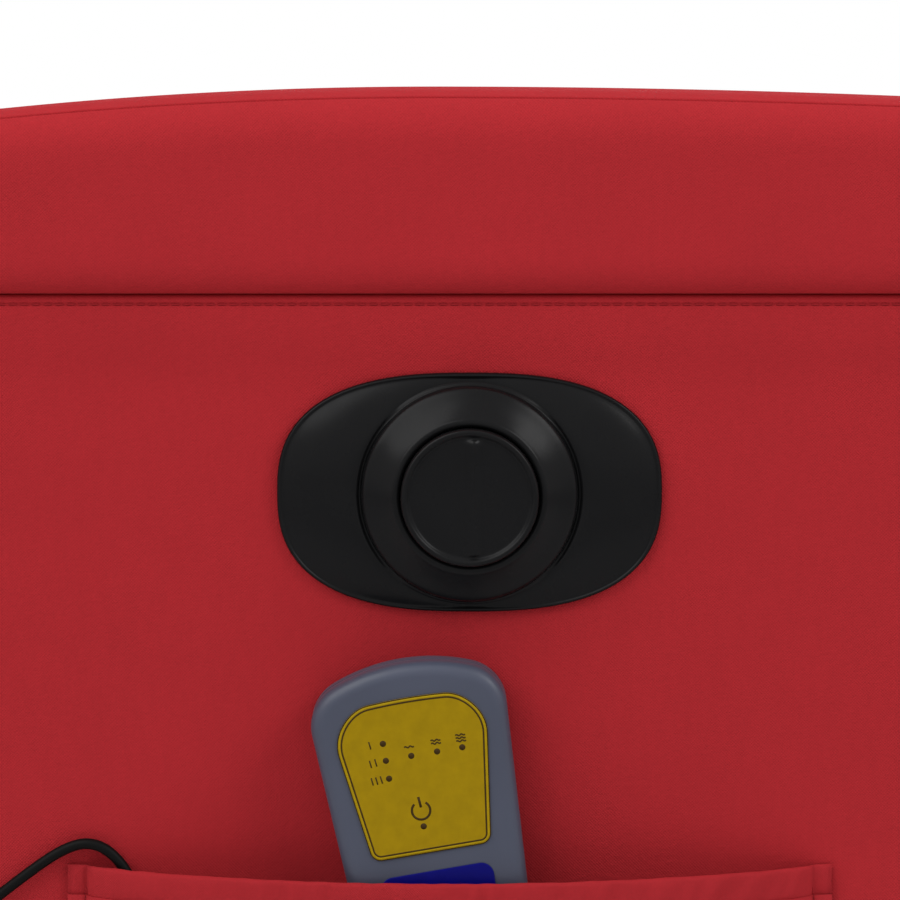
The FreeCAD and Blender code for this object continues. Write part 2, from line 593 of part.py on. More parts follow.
def outline(name, wide, tall, corner, height):
    """A rounded rectangle about the origin, at a height, all as formulas."""
    sketch = doc.addObject("Sketcher::SketchObject", name)
    w, t, r = 100.0, 60.0, 10.0
    lines = [
        ((-w + r, -t), (w - r, -t)), ((w, -t + r), (w, t - r)),
        ((w - r, t), (-w + r, t)), ((-w, t - r), (-w, -t + r)),
    ]
    for a, b in lines:
        sketch.addGeometry(Part.LineSegment(Vector(*a, 0), Vector(*b, 0)), False)
    k = r * math.sqrt(0.5)
    arcs = [
        ((w - r, -t), (w - r + k, -t + r - k), (w, -t + r)),
        ((w, t - r), (w - r + k, t - r + k), (w - r, t)),
        ((-w + r, t), (-w + r - k, t - r + k), (-w, t - r)),
        ((-w, -t + r), (-w + r - k, -t + r - k), (-w + r, -t)),
    ]
    for a, b, c in arcs:
        sketch.addGeometry(Part.Arc(Vector(*a, 0), Vector(*b, 0), Vector(*c, 0)), False)
    for i in range(4):
        after = (i + 1) % 4
        sketch.addConstraint(Sketcher.Constraint("Tangent", i, 2, 4 + i, 1))
        sketch.addConstraint(Sketcher.Constraint("Tangent", 4 + i, 2, after, 1))
    for i in (0, 2):
        sketch.addConstraint(Sketcher.Constraint("Horizontal", i))
    for i in (1, 3):
        sketch.addConstraint(Sketcher.Constraint("Vertical", i))
    for i in (5, 6, 7):
        sketch.addConstraint(Sketcher.Constraint("Equal", 4, i))
    sketch.addConstraint(Sketcher.Constraint("Symmetric", 4, 3, 6, 3, -1, 1))
    named(sketch, Sketcher.Constraint("DistanceX", 3, 1, 1, 1, 2 * w), "wide", wide)
    named(sketch, Sketcher.Constraint("DistanceY", 0, 1, 2, 1, 2 * t), "tall", tall)
    named(sketch, Sketcher.Constraint("Radius", 4, r), "corner", corner)
    bind(sketch, Placement__Base__z=height)
    return sketch


def cushion(name, wide, tall, thick, corner="28", crown="14"):
    """A cushion that lies in XY: drawn in at its two faces, full in the middle, and crowned."""
    full = [
        (f"{wide} - 1.2 * {crown}", f"{tall} - 1.2 * {crown}", "0"),
        (f"{wide} - 0.3 * {crown}", f"{tall} - 0.3 * {crown}", f"0.18 * {thick}"),
        (wide, tall, f"0.5 * {thick}"),
        (f"{wide} - 0.5 * {crown}", f"{tall} - 0.5 * {crown}", f"0.78 * {thick}"),
        (f"{wide} - 2.2 * {crown}", f"{tall} - 2.2 * {crown}", f"{thick} - 0.5 * {crown}"),
        (f"{wide} - 5 * {crown}", f"{tall} - 5 * {crown}", thick),
    ]
    sections = [outline(f"{name}_{i}", w, t, corner, z) for i, (w, t, z) in enumerate(full)]
    loft = doc.addObject("Part::Loft", name)
    loft.Sections = sections
    loft.Solid = True
    loft.Ruled = True
    return loft


def hollowed(item, name, pockets):
    """Cuts the hollows for the motors out of a cushion."""
    return cut(name, item, together("fuse", name + "_hollows", pockets))


HOLLOW = "motor_radius + motor_play"


def seat_cushion():
    """The seat cushion, with a hollow underneath for each of its two motors."""
    wide = "seat_gap - 2 * cushion_gap"
    form = cushion("seat_form", wide, "seat_depth", "seat_thickness", "30")
    place(form, "0", "seat_nose + seat_depth / 2", "seat_top - seat_thickness")
    hollows = [
        rod(f"seat_hollow{i}", HOLLOW, "motor_deep + 3", f"{side} motor_half", "seat_nose + seat_depth * 0.55",
            "seat_top - seat_thickness - 1")
        for i, side in enumerate(("0 +", "0 -"))
    ]
    node("seat_cushion", hollowed(form, "seat_with_hollows", hollows))


seat_cushion()


def footrest_pad():
    """The padded front of the footrest, on its board."""
    wide = "seat_gap - 2 * footrest_side"
    form = cushion("footrest_form", wide, "footrest_tall", "footrest_pad_thick", "18", "10")
    form.Placement = Placement(Vector(), Rotation(Vector(1, 0, 0), 90))
    place(form, "0", "footrest_back - footrest_board_thick", "footrest_low + footrest_tall / 2")
    node("footrest_pad", form)


footrest_pad()


def seat_rails():
    """The seat's four wooden rails, which sit on brackets of the side plates."""
    z = "seat_top - seat_thickness - seat_rail_high - strap_thick"
    outer = "(seat_gap / 2 - seat_rail_in)"
    long = "seat_depth - 64"
    y = "seat_nose + 44"
    left = board("rail_l", f"{outer} - seat_rail_wide", y, z, "seat_rail_wide", long, "seat_rail_high")
    right = board("rail_r", f"0 - {outer}", y, z, "seat_rail_wide", long, "seat_rail_high")
    inside = f"2 * ({outer} - seat_rail_wide)"
    front = board("rail_f", f"seat_rail_wide - {outer}", y, z, inside, "seat_rail_wide", "seat_rail_high")
    rear = board("rail_b", f"seat_rail_wide - {outer}", f"{y} + {long} - seat_rail_wide", z, inside,
                 "seat_rail_wide", "seat_rail_high")
    node("seat_rails", together("group", "seat_rails_group", [left, right, front, rear]))
    hangers = []
    for side, x in (("l", outer), ("r", "0 - seat_gap / 2 + plate")):
        for end, where in (("front", "tong_y + 6"), ("rear", "tong_y + 180")):
            hangers.append(board(f"hanger_{side}{end}", x, where, f"{z} + seat_rail_high - plate",
                                 "seat_rail_in - plate", "34", "plate"))
    node("seat_rail_hangers", together("group", "hanger_group", hangers))


seat_rails()

# Back: it is drawn upright at the origin, then leant about its pivot


def lean(item, along="0", out="0", across="0"):
    """Leans an item of the back: along runs up the back from the pivot, and out runs to the rear."""
    item.Placement = Placement(Vector(), Rotation(Vector(1, 0, 0), 10))
    bind(item, Placement__Rotation__Angle="(0 - lean) * 1deg")
    y = f"recline_y + ({along}) * sin(lean * 1deg) + ({out}) * cos(lean * 1deg)"
    z = f"recline_z + ({along}) * cos(lean * 1deg) - ({out}) * sin(lean * 1deg)"
    return place(item, across, y, z)


def back_board(name, across, along, wide, tall):
    """A board of the back frame."""
    item = doc.addObject("Part::Box", name)
    bind(item, Length=wide, Width="back_board", Height=tall)
    return lean(item, along, "0 - back_board / 2", across)


def back():
    """The back's frame, hinge brackets, rear cover and three cushions, one above the other."""
    tall = "back_high - back_low"
    left = back_board("upright_l", "back_width / 2 - upright", "back_low", "upright", tall)
    right = back_board("upright_r", "0 - back_width / 2", "back_low", "upright", tall)
    inside = "back_width - 2 * upright"
    rails = [
        back_board(f"back_rail{i}", f"0 - ({inside}) / 2", z, inside, "70")
        for i, z in enumerate(("lumbar_low", "lumbar_low + lumbar_tall", "back_high - 70"))
    ]
    node("back_frame", together("group", "back_frame_group", [left, right] + rails))
    ear = doc.addObject("Part::Box", "ear_plate")
    bind(ear, Length="link_thick", Width="back_board + 13", Height="130")
    lean(ear, "0 - 26", "0 - back_board / 2 - 13", "seat_gap / 2 - plate - link_gap - link_thick")
    bore = rod("ear_bore", "pin_radius + pin_play", "40", "seat_gap / 2 - 30", "recline_y", "recline_z", "X")
    arm = doc.addObject("Part::Box", "ear_arm")
    bind(arm, Length="(seat_gap - back_width) / 2 - plate - link_gap - link_thick", Width="back_board - 4",
         Height="60")
    lean(arm, "40", "2 - back_board / 2", "back_width / 2")
    both_sides("back_brackets", cut("ear", together("fuse", "ear_solid", [ear, arm]), bore))
    cover = cushion("back_cover_form", "back_cover_wide", "back_high - 60", "back_cover_thick", "22", "3")
    cover.Placement = Placement(Vector(), Rotation(Vector(1, 0, 0), -90))
    bind(cover, Placement__Rotation__Angle="(0 - 90 - lean) * 1deg")
    middle = "(back_high / 2 + 50)"
    y = f"recline_y + ({middle}) * sin(lean * 1deg) + (back_board / 2) * cos(lean * 1deg)"
    z = f"recline_z + ({middle}) * cos(lean * 1deg) - (back_board / 2) * sin(lean * 1deg)"
    node("back_rear_cover", place(cover, "0", y, z))


back()


def back_cushion(name, low, tall, thick, motors=False):
    """One of the back's cushions, from its lower edge up the back."""
    wide = "seat_gap - 2 * pad_overhang - 2 * cushion_gap"
    form = cushion(name + "_form", wide, tall, thick, "30")
    form.Placement = Placement(Vector(), Rotation(Vector(1, 0, 0), 80))
    bind(form, Placement__Rotation__Angle="(90 - lean) * 1deg")
    along, out = f"({low} + ({tall}) / 2)", "(0 - back_board / 2)"
    y = f"recline_y + {along} * sin(lean * 1deg) + {out} * cos(lean * 1deg)"
    z = f"recline_z + {along} * cos(lean * 1deg) - {out} * sin(lean * 1deg)"
    place(form, "0", y, z)
    if motors:
        hollows = [back_rod(f"back_hollow{i}", HOLLOW, "motor_deep + 3", side, "1")
                   for i, side in enumerate(("0 +", "0 -"))]
        form = hollowed(form, name + "_with_hollows", hollows)
    node(name, form)


MOTOR_UP = "(lumbar_low + lumbar_tall * 0.5)"


def back_rod(name, radius, deep, side, behind):
    """A cylinder into the lumbar cushion from the face of the back frame, square to the back."""
    item = doc.addObject("Part::Cylinder", name)
    item.Placement = Placement(Vector(), Rotation(Vector(1, 0, 0), 80))
    bind(item, Radius=radius, Height=deep, Placement__Rotation__Angle="(90 - lean) * 1deg")
    out = f"({behind} - back_board / 2)"
    y = f"recline_y + {MOTOR_UP} * sin(lean * 1deg) + {out} * cos(lean * 1deg)"
    z = f"recline_z + {MOTOR_UP} * cos(lean * 1deg) - {out} * sin(lean * 1deg)"
    return place(item, f"{side} motor_half", y, z)


back_cushion("lumbar_cushion", "lumbar_low", "lumbar_tall", "cushion_thick", True)
back_cushion("middle_cushion", "lumbar_low + lumbar_tall + cushion_joint", "mid_tall", "cushion_thick - 8")
HEAD_LOW = "lumbar_low + lumbar_tall + mid_tall + 2 * cushion_joint"
back_cushion("head_cushion", HEAD_LOW, "head_tall", "cushion_thick")

# Vibration motors: a round housing with an eccentric weight on a shaft inside


def motor_shapes():
    """A motor's housing and its rotor, both standing on XY about the origin."""
    radius, deep, wall, play = (size(a) for a in ("motor_radius", "motor_deep", "motor_wall", "motor_play"))
    inside = Part.makeCylinder(radius - wall, deep - 2 * wall, Vector(0, 0, wall))
    shell = Part.makeCylinder(radius, deep).cut(inside)
    shell = shell.cut(Part.makeCylinder(1.56, deep - 2, Vector(0, 0, 1)))
    shaft = Part.makeCylinder(1.5, deep - 2.4, Vector(0, 0, 1.2))
    swing = radius - wall - play - 2
    weight = Part.makeCylinder(swing, deep - 2 * wall - 8, Vector(0, 0, wall + 4))
    half = Part.makeBox(2 * radius, radius, deep, Vector(-radius, 3, 0))
    return shell.removeSplitter(), shaft.fuse(weight.cut(half)).removeSplitter()


def motors():
    """Two motors in the seat and two in the lumbar cushion."""
    shell, rotor = motor_shapes()
    half = size("motor_half")
    seat_middle = size("seat_nose") + size("seat_depth") * 0.55
    seat_spot = Vector(0, seat_middle, size("seat_top") - size("seat_thickness"))
    lean_angle = math.radians(size("lean"))
    up = size("lumbar_low") + size("lumbar_tall") * 0.5
    out = -size("back_board") / 2
    back_spot = Vector(
        0,
        size("recline_y") + up * math.sin(lean_angle) + out * math.cos(lean_angle),
        size("recline_z") + up * math.cos(lean_angle) - out * math.sin(lean_angle),
    )
    for where, spot, turn in (("seat", seat_spot, 0), ("back", back_spot, 90 - size("lean"))):
        shells = []
        for side, sign in (("left", 1), ("right", -1)):
            at = Placement(spot + Vector(sign * half, 0, 0), Rotation(Vector(1, 0, 0), turn))
            shells.append(placed(shell, at))
            fixed(f"{where}_motor_weight_{side}", placed(rotor, at))
        fixed(f"{where}_motor_housings", Part.makeCompound(shells))


def placed(shape, at):
    """A copy of a shape at a placement."""
    copy = shape.copy()
    copy.Placement = at.multiply(shape.Placement)
    return copy


motors()

# Release handle: an oval plate with a collar, a turning knob, a cable drum and its housing


def oval(wide, tall, power=2.6, count=28):
    """A closed smooth outline in XY, fuller than an ellipse."""
    points = []
    for i in range(count):
        a = 2 * math.pi * i / count
        c, s = math.cos(a), math.sin(a)
        x = wide / 2 * math.copysign(abs(c) ** (2 / power), c)
        y = tall / 2 * math.copysign(abs(s) ** (2 / power), s)
        points.append(Vector(x, y, 0))
    curve = Part.BSplineCurve()
    curve.interpolate(points, PeriodicFlag=True)
    return Part.Wire(curve.toShape())


def revolved(points):
    """A solid of revolution about Z from a closed profile of (radius, height) points."""
    wire = Part.makePolygon([Vector(r, 0, z) for r, z in points + points[:1]])
    return Part.Face(wire).revolve(Vector(), Vector(0, 0, 1), 360)


def ring(sides, radius):
    """A closed outline in XY with flat sides, about the origin."""
    steps = [2 * math.pi * (i + 0.5) / sides for i in range(sides)]
    points = [Vector(radius * math.cos(a), radius * math.sin(a), 0) for a in steps]
    return Part.makePolygon(points + points[:1])


def prism(sides, radius, high, spot):
    """A solid with flat sides that stands on a spot."""
    block = Part.Face(ring(sides, radius)).extrude(Vector(0, 0, high))
    block.translate(spot)
    return block


def handle_at():
    """The knob's axis on the right arm's cover: local Z points out of the chair, and local X to its front."""
    face = -(size("seat_gap") / 2 + size("arm_width"))
    turn = Rotation(Vector(0, -1, 0), Vector(0, 0, 1), Vector(-1, 0, 0), "ZXY")
    return Placement(Vector(face, size("handle_y"), size("handle_z")), turn)


def escutcheon():
    """The oval plate with its raised collar."""
    wide, tall, edge, rise = (size(a) for a in ("plate_wide", "plate_tall", "plate_edge", "plate_rise"))
    wires = []
    for inset, height in ((0, 0), (0, edge), (8, rise - 1), (28, rise)):
        wire = oval(wide - inset, tall - inset)
        wire.translate(Vector(0, 0, height))
        wires.append(wire)
    plate = Part.makeLoft(wires, True, True)
    foot, lip, high = size("collar_foot"), size("collar_lip"), size("collar_high")
    collar = revolved([
        (lip, 0), (foot, 0), (foot, rise - 1.2), (foot - 1.5, rise + 0.8), (lip + 2, high), (lip, high),
    ])
    through = Part.makeCylinder(lip, high + 10, Vector(0, 0, -5))
    return plate.fuse(collar).cut(through)


def knob():
    """The round knob: a rim, a dished face and a finger bar across it."""
    radius, dish, high, deep = (size(a) for a in ("knob_radius", "knob_dish", "knob_high", "dish_deep"))
    low = -4.0
    body = revolved([
        (0, low), (radius, low), (radius, high - 1.2), (radius - 1.2, high), (dish + 0.4, high),
        (dish - 0.4, high - deep), (0, high - deep),
    ])
    wide, rise, long = size("bar_wide"), size("bar_high"), 2 * dish - 1.2
    ridge = Part.Face(Part.Wire([
        Part.LineSegment(Vector(-wide / 2 - 1.4, 0, 0), Vector(wide / 2 + 1.4, 0, 0)).toShape(),
        Part.Arc(Vector(wide / 2 + 1.4, 0, 0), Vector(0, rise, 0), Vector(-wide / 2 - 1.4, 0, 0)).toShape(),
    ])).extrude(Vector(0, 0, long))
    ridge.Placement = Placement(Vector(0, long / 2, high - deep - 0.2), Rotation(Vector(1, 0, 0), 90))
    socket = Part.makeBox(5, 5, 8, Vector(-2.5, -2.5, low - 1))
    return body.fuse(ridge).cut(socket).removeSplitter()


def handle():
    """All the pieces of the release handle."""
    at = handle_at()
    drum, spindle, wall = size("drum_radius"), size("spindle_radius"), size("housing_wall")
    hole = size("handle_hole")
    board_face = -(size("skin") + size("board"))
    skirt = revolved([(hole - 2.5, 1), (hole - 0.1, 1), (hole - 0.1, board_face), (hole - 2.5, board_face)])
    fixed("release_escutcheon", placed(escutcheon().fuse(skirt).removeSplitter(), at))
    fixed("release_knob", placed(knob(), at))
    floor, low, outer = board_face - 20, -4.3, hole - 1
    wheel = revolved([
        (0, floor + 6), (drum, floor + 6), (drum, floor + 8), (drum - 3, floor + 8), (drum - 3, floor + 12),
        (drum, floor + 12), (drum, floor + 14), (spindle, floor + 14), (spindle, low), (0, low),
    ])
    square = Part.makeBox(4.8, 4.8, 7.5, Vector(-2.4, -2.4, low - 0.6))
    pivot = Part.makeCylinder(3, 4, Vector(0, 0, floor + 2.2))
    fixed("cable_drum", placed(wheel.fuse([square, pivot]).removeSplitter(), at))
    cup = revolved([
        (0, floor), (outer, floor), (outer, board_face - 2.5), (outer + 9, board_face - 2.5),
        (outer + 9, board_face), (outer - wall, board_face), (outer - wall, floor + wall), (0, floor + wall),
    ])
    bearing = Part.makeCylinder(5.5, 3.4, Vector(0, 0, floor + wall))
    nipple = Part.makeCylinder(4, 10, Vector(drum - 1.5, -22, floor + 10), Vector(0, -1, 0))
    cup = cup.fuse([bearing, nipple]).cut(Part.makeCylinder(3.06, 8, Vector(0, 0, floor + 2)))
    wire_way = Part.makeCylinder(1.2, 26, Vector(drum - 1.5, -8, floor + 10), Vector(0, -1, 0))
    cup = cup.cut(wire_way)
    screws = []
    for side in (-1, 1):
        spot = Vector(side * (outer + 5.5), 0, board_face - 2.5)
        cup = cup.cut(Part.makeCylinder(1.6, 9, spot - Vector(0, 0, 2)))
        screws.append(prism(8, 1.5, 9, spot).fuse(prism(12, 2.9, 1.8, spot - Vector(0, 0, 1.8))).removeSplitter())
    fixed("cable_housing", placed(cup.removeSplitter(), at))
    fixed("housing_screws", placed(Part.makeCompound(screws), at))


handle()


# Side pocket: cloth that bulges from the arm's cover, with an elastic hem round its mouth


def pocket_section(height, bulge, grow):
    """One level of the pocket: flat ends on the cover and a full curve between them."""
    wide, rear = size("pocket_wide"), size("pocket_rear")
    face = -(size("seat_gap") / 2 + size("arm_width"))
    inset = -grow
    steps = (0, 0.025, 0.05, 0.1, 0.2, 0.35, 0.5, 0.65, 0.8, 0.9, 0.95, 0.975, 1)
    points = []
    for t in steps:
        swell = max(0.0, math.sin(math.pi * t)) ** 0.7 if 0.02 < t < 0.98 else 0
        y = rear - inset - t * (wide - 2 * inset)
        points.append(Vector(face - 1.6 - grow - (bulge - 1.6) * swell, y, height))
    base = [Vector(face, points[-1].y, height), Vector(face, points[0].y, height)]
    return Part.makePolygon(points + base + points[:1])


def pocket_form(levels, grow):
    """A solid through the pocket's levels."""
    return Part.makeLoft([pocket_section(z, bulge, grow) for z, bulge in levels], True, True)


def pocket():
    """The pocket's cloth and its hem. The mouth dips a little in the middle."""
    low, mouth, cloth = size("pocket_low"), size("pocket_mouth"), size("pocket_cloth")
    bulge, foot = size("pocket_bulge"), size("pocket_foot")
    levels = [(low, foot), (low + 45, bulge - 0.5), (mouth + 6, bulge)]
    outer = pocket_form(levels, 0)
    inner_levels = [(low + cloth, foot), (low + 45, bulge - 0.5), (mouth + 7, bulge)]
    inner = pocket_form(inner_levels, -cloth)
    dip, half = 1.6, size("pocket_wide") / 2
    radius = (half**2 + dip**2) / (2 * dip)
    middle = size("pocket_rear") - half
    above = Part.makeCylinder(radius, 60, Vector(-(size("seat_gap") / 2 + size("arm_width")) - 40, middle,
                                                mouth + radius), Vector(1, 0, 0))
    hem_low = above.translated(Vector(0, 0, -10.5))
    fixed("remote_pocket", outer.cut(inner).cut(hem_low))
    band = pocket_form(levels, 0.8).cut(inner).cut(above).common(hem_low)
    fixed("pocket_hem", band)


pocket()

# Remote: two shells, overlays, keys, lamps, circuit board, screws and strain relief


def remote_at():
    """The remote's datum: local X runs to the chair's front, Y up the remote and Z out of the chair."""
    face = -(size("seat_gap") / 2 + size("arm_width") + size("remote_off"))
    tilt = math.radians(size("remote_tilt"))
    turn = Rotation(Vector(0, -math.cos(tilt), math.sin(tilt)), Vector(0, math.sin(tilt), math.cos(tilt)),
                    Vector(-1, 0, 0), "ZXY")
    return Placement(Vector(face, size("remote_y"), size("remote_z")), turn)


def remote_outline(inset=0.0):
    """The remote's outline in its own XY: tapered sides, round shoulders and a shallow arched top."""
    head, foot = size("remote_half") - inset, size("remote_foot") - inset
    top, low = size("remote_up") - inset, inset - size("remote_down")
    shoulder, turn = 14.0 - inset, math.radians(70)
    centre = (head - shoulder, top - 4.04 - shoulder * math.sin(turn))
    end = (centre[0] + shoulder * math.cos(turn), centre[1] + shoulder * math.sin(turn))
    between = (centre[0] + shoulder * math.cos(turn / 2), centre[1] + shoulder * math.sin(turn / 2))
    side = (head, centre[1])
    corner = 7.0

    def at(point, sign=1):
        return Vector(sign * point[0], point[1], 0)

    pieces = [
        Part.LineSegment(at((foot, low + corner)), at(side)),
        Part.Arc(at(side), at(between), at(end)),
        Part.Arc(at(end), Vector(0, top, 0), at(end, -1)),
        Part.Arc(at(end, -1), at(between, -1), at(side, -1)),
        Part.LineSegment(at(side, -1), at((foot, low + corner), -1)),
        Part.Arc(at((foot, low + corner), -1), at((foot - corner * 0.3, low + corner * 0.3), -1),
                 at((foot - corner, low), -1)),
        Part.LineSegment(at((foot - corner, low), -1), at((foot - corner, low))),
        Part.Arc(at((foot - corner, low)), at((foot - corner * 0.3, low + corner * 0.3)),
                 at((foot, low + corner))),
    ]
    return Part.Wire([piece.toShape() for piece in pieces])


def softened(low, high, soft, top):
    """A slab on the remote's outline with one edge drawn in by two slopes: its top's edge, or its lower one."""
    near, far = 0.3 * soft, soft
    if top:
        levels = [(0, low), (0, high - far), (near, high - near), (far, high)]
    else:
        levels = [(far, low), (near, low + near), (0, low + far), (0, high)]
    wires = []
    for inset, height in levels:
        wire = remote_outline(inset)
        wire.translate(Vector(0, 0, height))
        wires.append(wire)
    return Part.makeLoft(wires, True, True)


def slab(wire, low, high):
    """A solid on an outline between two heights."""
    face = Part.Face(wire)
    face.translate(Vector(0, 0, low))
    return face.extrude(Vector(0, 0, high - low))


def overlay_face(low, high, half_low, half_high, corner_low, corner_high):
    """A four-sided film outline with round corners."""
    corners = [(-half_low, low), (half_low, low), (half_high, high), (-half_high, high)]
    points = [Vector(x, y, 0) for x, y in corners]
    block = Part.Face(Part.makePolygon(points + points[:1])).extrude(Vector(0, 0, size("overlay")))
    upright = [e for e in block.Edges if e.BoundBox.ZLength > 0.4 and e.BoundBox.XLength < 0.01]
    low_ones = [e for e in upright if e.BoundBox.YMin < (low + high) / 2]
    high_ones = [e for e in upright if e.BoundBox.YMin > (low + high) / 2]
    return block.makeFillet(corner_low, low_ones).makeFillet(corner_high, [
        e for e in block.makeFillet(corner_low, low_ones).Edges
        if e.BoundBox.ZLength > 0.4 and e.BoundBox.XLength < 0.01 and e.BoundBox.YLength < 0.01
        and any(abs(e.BoundBox.XMin - h.BoundBox.XMin) < 0.01 and abs(e.BoundBox.YMin - h.BoundBox.YMin) < 0.01
                for h in high_ones)
    ])


KEYS = {"power": (-1.2, 13.6), "mode": (-9.5, -24.0), "level": (9.5, -24.0), "heat": (0.0, -48.0)}
LAMPS = [(-9.2, 36.3), (-9.2, 30.8), (-9.2, 25.2), (-1.2, 31.1), (6.8, 31.1), (14.8, 31.1)]


def remote():
    """All the pieces of the remote, lying on XY with its face up, then placed in the pocket."""
    at = remote_at()
    thick, front, wall = size("remote_thick"), size("remote_front"), size("remote_wall")
    split, round_ = thick - front, size("remote_round")
    lid = softened(split, thick, round_, True)
    lid = lid.cut(slab(remote_outline(wall), split - 1, thick - wall))
    key, play = size("key_radius"), size("key_play")
    lamp, lamp_play = 1.0, 0.2
    lid = lid.cut([prism(8, key + play, 9, Vector(x, y, thick - 6)) for x, y in KEYS.values()])
    hole = lamp + lamp_play
    lid = lid.cut([Part.makeBox(2 * hole, 2 * hole, 9, Vector(x - hole, y - hole, thick - 6)) for x, y in LAMPS])
    posts = [(-14.0, 42.0), (14.0, 42.0), (0.0, -96.0)]
    for x, y in posts:
        lid = lid.fuse(Part.makeCylinder(3.2, thick - wall - split, Vector(x, y, split)))
        lid = lid.cut(Part.makeCylinder(1.3, 5, Vector(x, y, split)))
    fixed("remote_front_shell", placed(lid.removeSplitter(), at))
    tub = softened(0, split, 2.5, False)
    tub = tub.cut(slab(remote_outline(wall), wall, split + 1))
    for x, y in posts:
        tub = tub.fuse(Part.makeCylinder(3.2, split - wall, Vector(x, y, wall)))
        tub = tub.cut(Part.makeCylinder(1.3, split + 1, Vector(x, y, -0.5)))
        tub = tub.cut(Part.makeCylinder(2.7, 2, Vector(x, y, -0.5)))
    fixed("remote_rear_shell", placed(tub.removeSplitter(), at))
    screws = [
        prism(8, 1.25, split + 3, Vector(x, y, 1.5)).fuse(prism(12, 2.5, 1.3, Vector(x, y, 0.2))) for x, y in posts
    ]
    fixed("remote_screws", placed(Part.makeCompound([s.removeSplitter() for s in screws]), at))
    board_wire = remote_outline(wall + 1)
    card = slab(board_wire, thick - 6.2, thick - 4.6)
    card = card.cut([Part.makeCylinder(3.5, 9, Vector(x, y, split)) for x, y in posts])
    card = card.cut(Part.makeBox(90, 50, 9, Vector(-45, -120, split)))
    fixed("remote_circuit_board", placed(card, at))
    tall, step, lower = size("overlay_tall"), size("overlay_step"), size("lower_overlay_tall")
    foot, head = size("overlay_foot"), size("overlay_half")
    for name, film in (
        ("remote_upper_overlay", overlay_face(0, tall, foot, head, 3.5, 12)),
        ("remote_lower_overlay", overlay_face(-step - lower, -step, foot - 1.5, foot, 4, 4)),
    ):
        film.translate(Vector(0, 0, thick))
        fixed(name, placed(film, at))
    lamps = [Part.makeBox(2 * lamp, 2 * lamp, 4.4, Vector(x - lamp, y - lamp, thick - 4.6)) for x, y in LAMPS]
    fixed("remote_lamps", placed(Part.makeCompound(lamps), at))
    for name, (x, y) in KEYS.items():
        cap = prism(8, key, size("key_high") - 0.9, Vector(x, y, thick - size("key_high") + 0.8))
        rim = prism(8, key + 1.2, 0.9, Vector(x, y, thick - size("key_high") - 0.1))
        fixed(f"{name}_key", placed(cap.fuse(rim).removeSplitter(), at))
    long, radius = size("relief_long"), size("cord_diameter") / 2
    rings = []
    for reach, height in ((4.2, 0), (4.2, 3), (radius + 0.9, long)):
        wire = ring(8, reach)
        wire.translate(Vector(0, 0, height))
        rings.append(wire)
    relief = Part.makeLoft(rings, True, True)
    relief.Placement = Placement(Vector(0, -size("remote_down"), split), Rotation(Vector(1, 0, 0), 90))
    fixed("remote_strain_relief", placed(Part.makeCompound([relief]), at))


remote()


def tube(points, radius, sides=8):
    """A cord of flat sides along straight runs joined by tangent arcs, and the bends' radii."""
    edges, bends, start = [], [], points[0]
    for before, corner, after in zip(points, points[1:], points[2:]):
        back, ahead = (before - corner), (after - corner)
        shorter = min(back.Length, ahead.Length)
        back.normalize()
        ahead.normalize()
        half = (math.pi - back.getAngle(ahead)) / 2
        reach = 0.45 * shorter
        bend = reach / math.tan(half)
        into, out = corner + back * reach, corner + ahead * reach
        middle = back + ahead
        middle.normalize()
        top = corner + middle * (bend / math.cos(half) - bend)
        edges.append(Part.LineSegment(start, into).toShape())
        edges.append(Part.Arc(into, top, out).toShape())
        bends.append(bend)
        start = out
    edges.append(Part.LineSegment(start, points[-1]).toShape())
    wire = Part.Wire(edges)
    section = ring(sides, radius)
    section.Placement = Placement(points[0], Rotation(Vector(0, 0, 1), points[1] - points[0]))
    return wire.makePipeShell([section], True, False), bends


def remote_cord():
    """The remote's limp cord: down from the remote, up over the hem, and in a hanging loop to the grommet."""
    at = remote_at()
    split = size("remote_thick") - size("remote_front")
    start = at.multVec(Vector(0, -size("remote_down") - size("relief_long"), split))
    down = at.multVec(Vector(0, -size("remote_down") - size("relief_long") - 23, split))
    arm_rear = size("arm_front") + size("arm_length")
    end = Vector(start.x + 4.7, arm_rear - size("grommet_in"), size("grommet_z") - 18)
    points = [start, down]
    for x, y, z in (
        (-389, -82, 207), (-389, -44, 205), (-387.5, -8, 228), (-385.5, 12, 268), (-384.4, 6.5, 302),
        (-383.9, 8, 334), (-383.6, 12.5, 356), (-383.3, 19, 373.5), (-382.8, 27.6, 382.5), (-382.8, 37.6, 382.5),
        (-382.9, 53.5, 371.5), (-383.2, 80, 350), (-384, 110, 312), (-384.6, 130, 262), (-385.4, 141, 206),
        (-386, 150, 150), (-386.2, 163, 105), (-386, 190, 79), (-385.7, 228, 84), (-385.3, 251, 112),
        (-385, 261, 148), (-384.8, 260.5, 188),
    ):
        points.append(Vector(x, y, z))
    points.append(end)
    solid, bends = tube(points, size("cord_diameter") / 2)
    print("cord bends (mm):", [round(b, 1) for b in bends])
    print("cord length (mm):", round(sum((b - a).Length for a, b in zip(points, points[1:])), 0))
    print("cord points:", [(round(p.x, 2), round(p.y, 2), round(p.z, 2)) for p in points])
    fixed("remote_cord", solid)
    radius = size("grommet_radius")
    face = -(size("seat_gap") / 2 + size("arm_width"))
    flange = Part.makeCylinder(radius + 2, 2, Vector(face, end.y, size("grommet_z")), Vector(-1, 0, 0))
    neck = Part.makeCylinder(size("cord_diameter") - 0.1, size("skin") + 1.5,
                             Vector(face - 2, end.y, size("grommet_z")), Vector(1, 0, 0))
    hood = prism(8, 3.4, 23, end)
    fixed("cord_grommet", flange.fuse([neck, hood]).removeSplitter())


remote_cord()

# Under the seat: straps, control box and power inlet


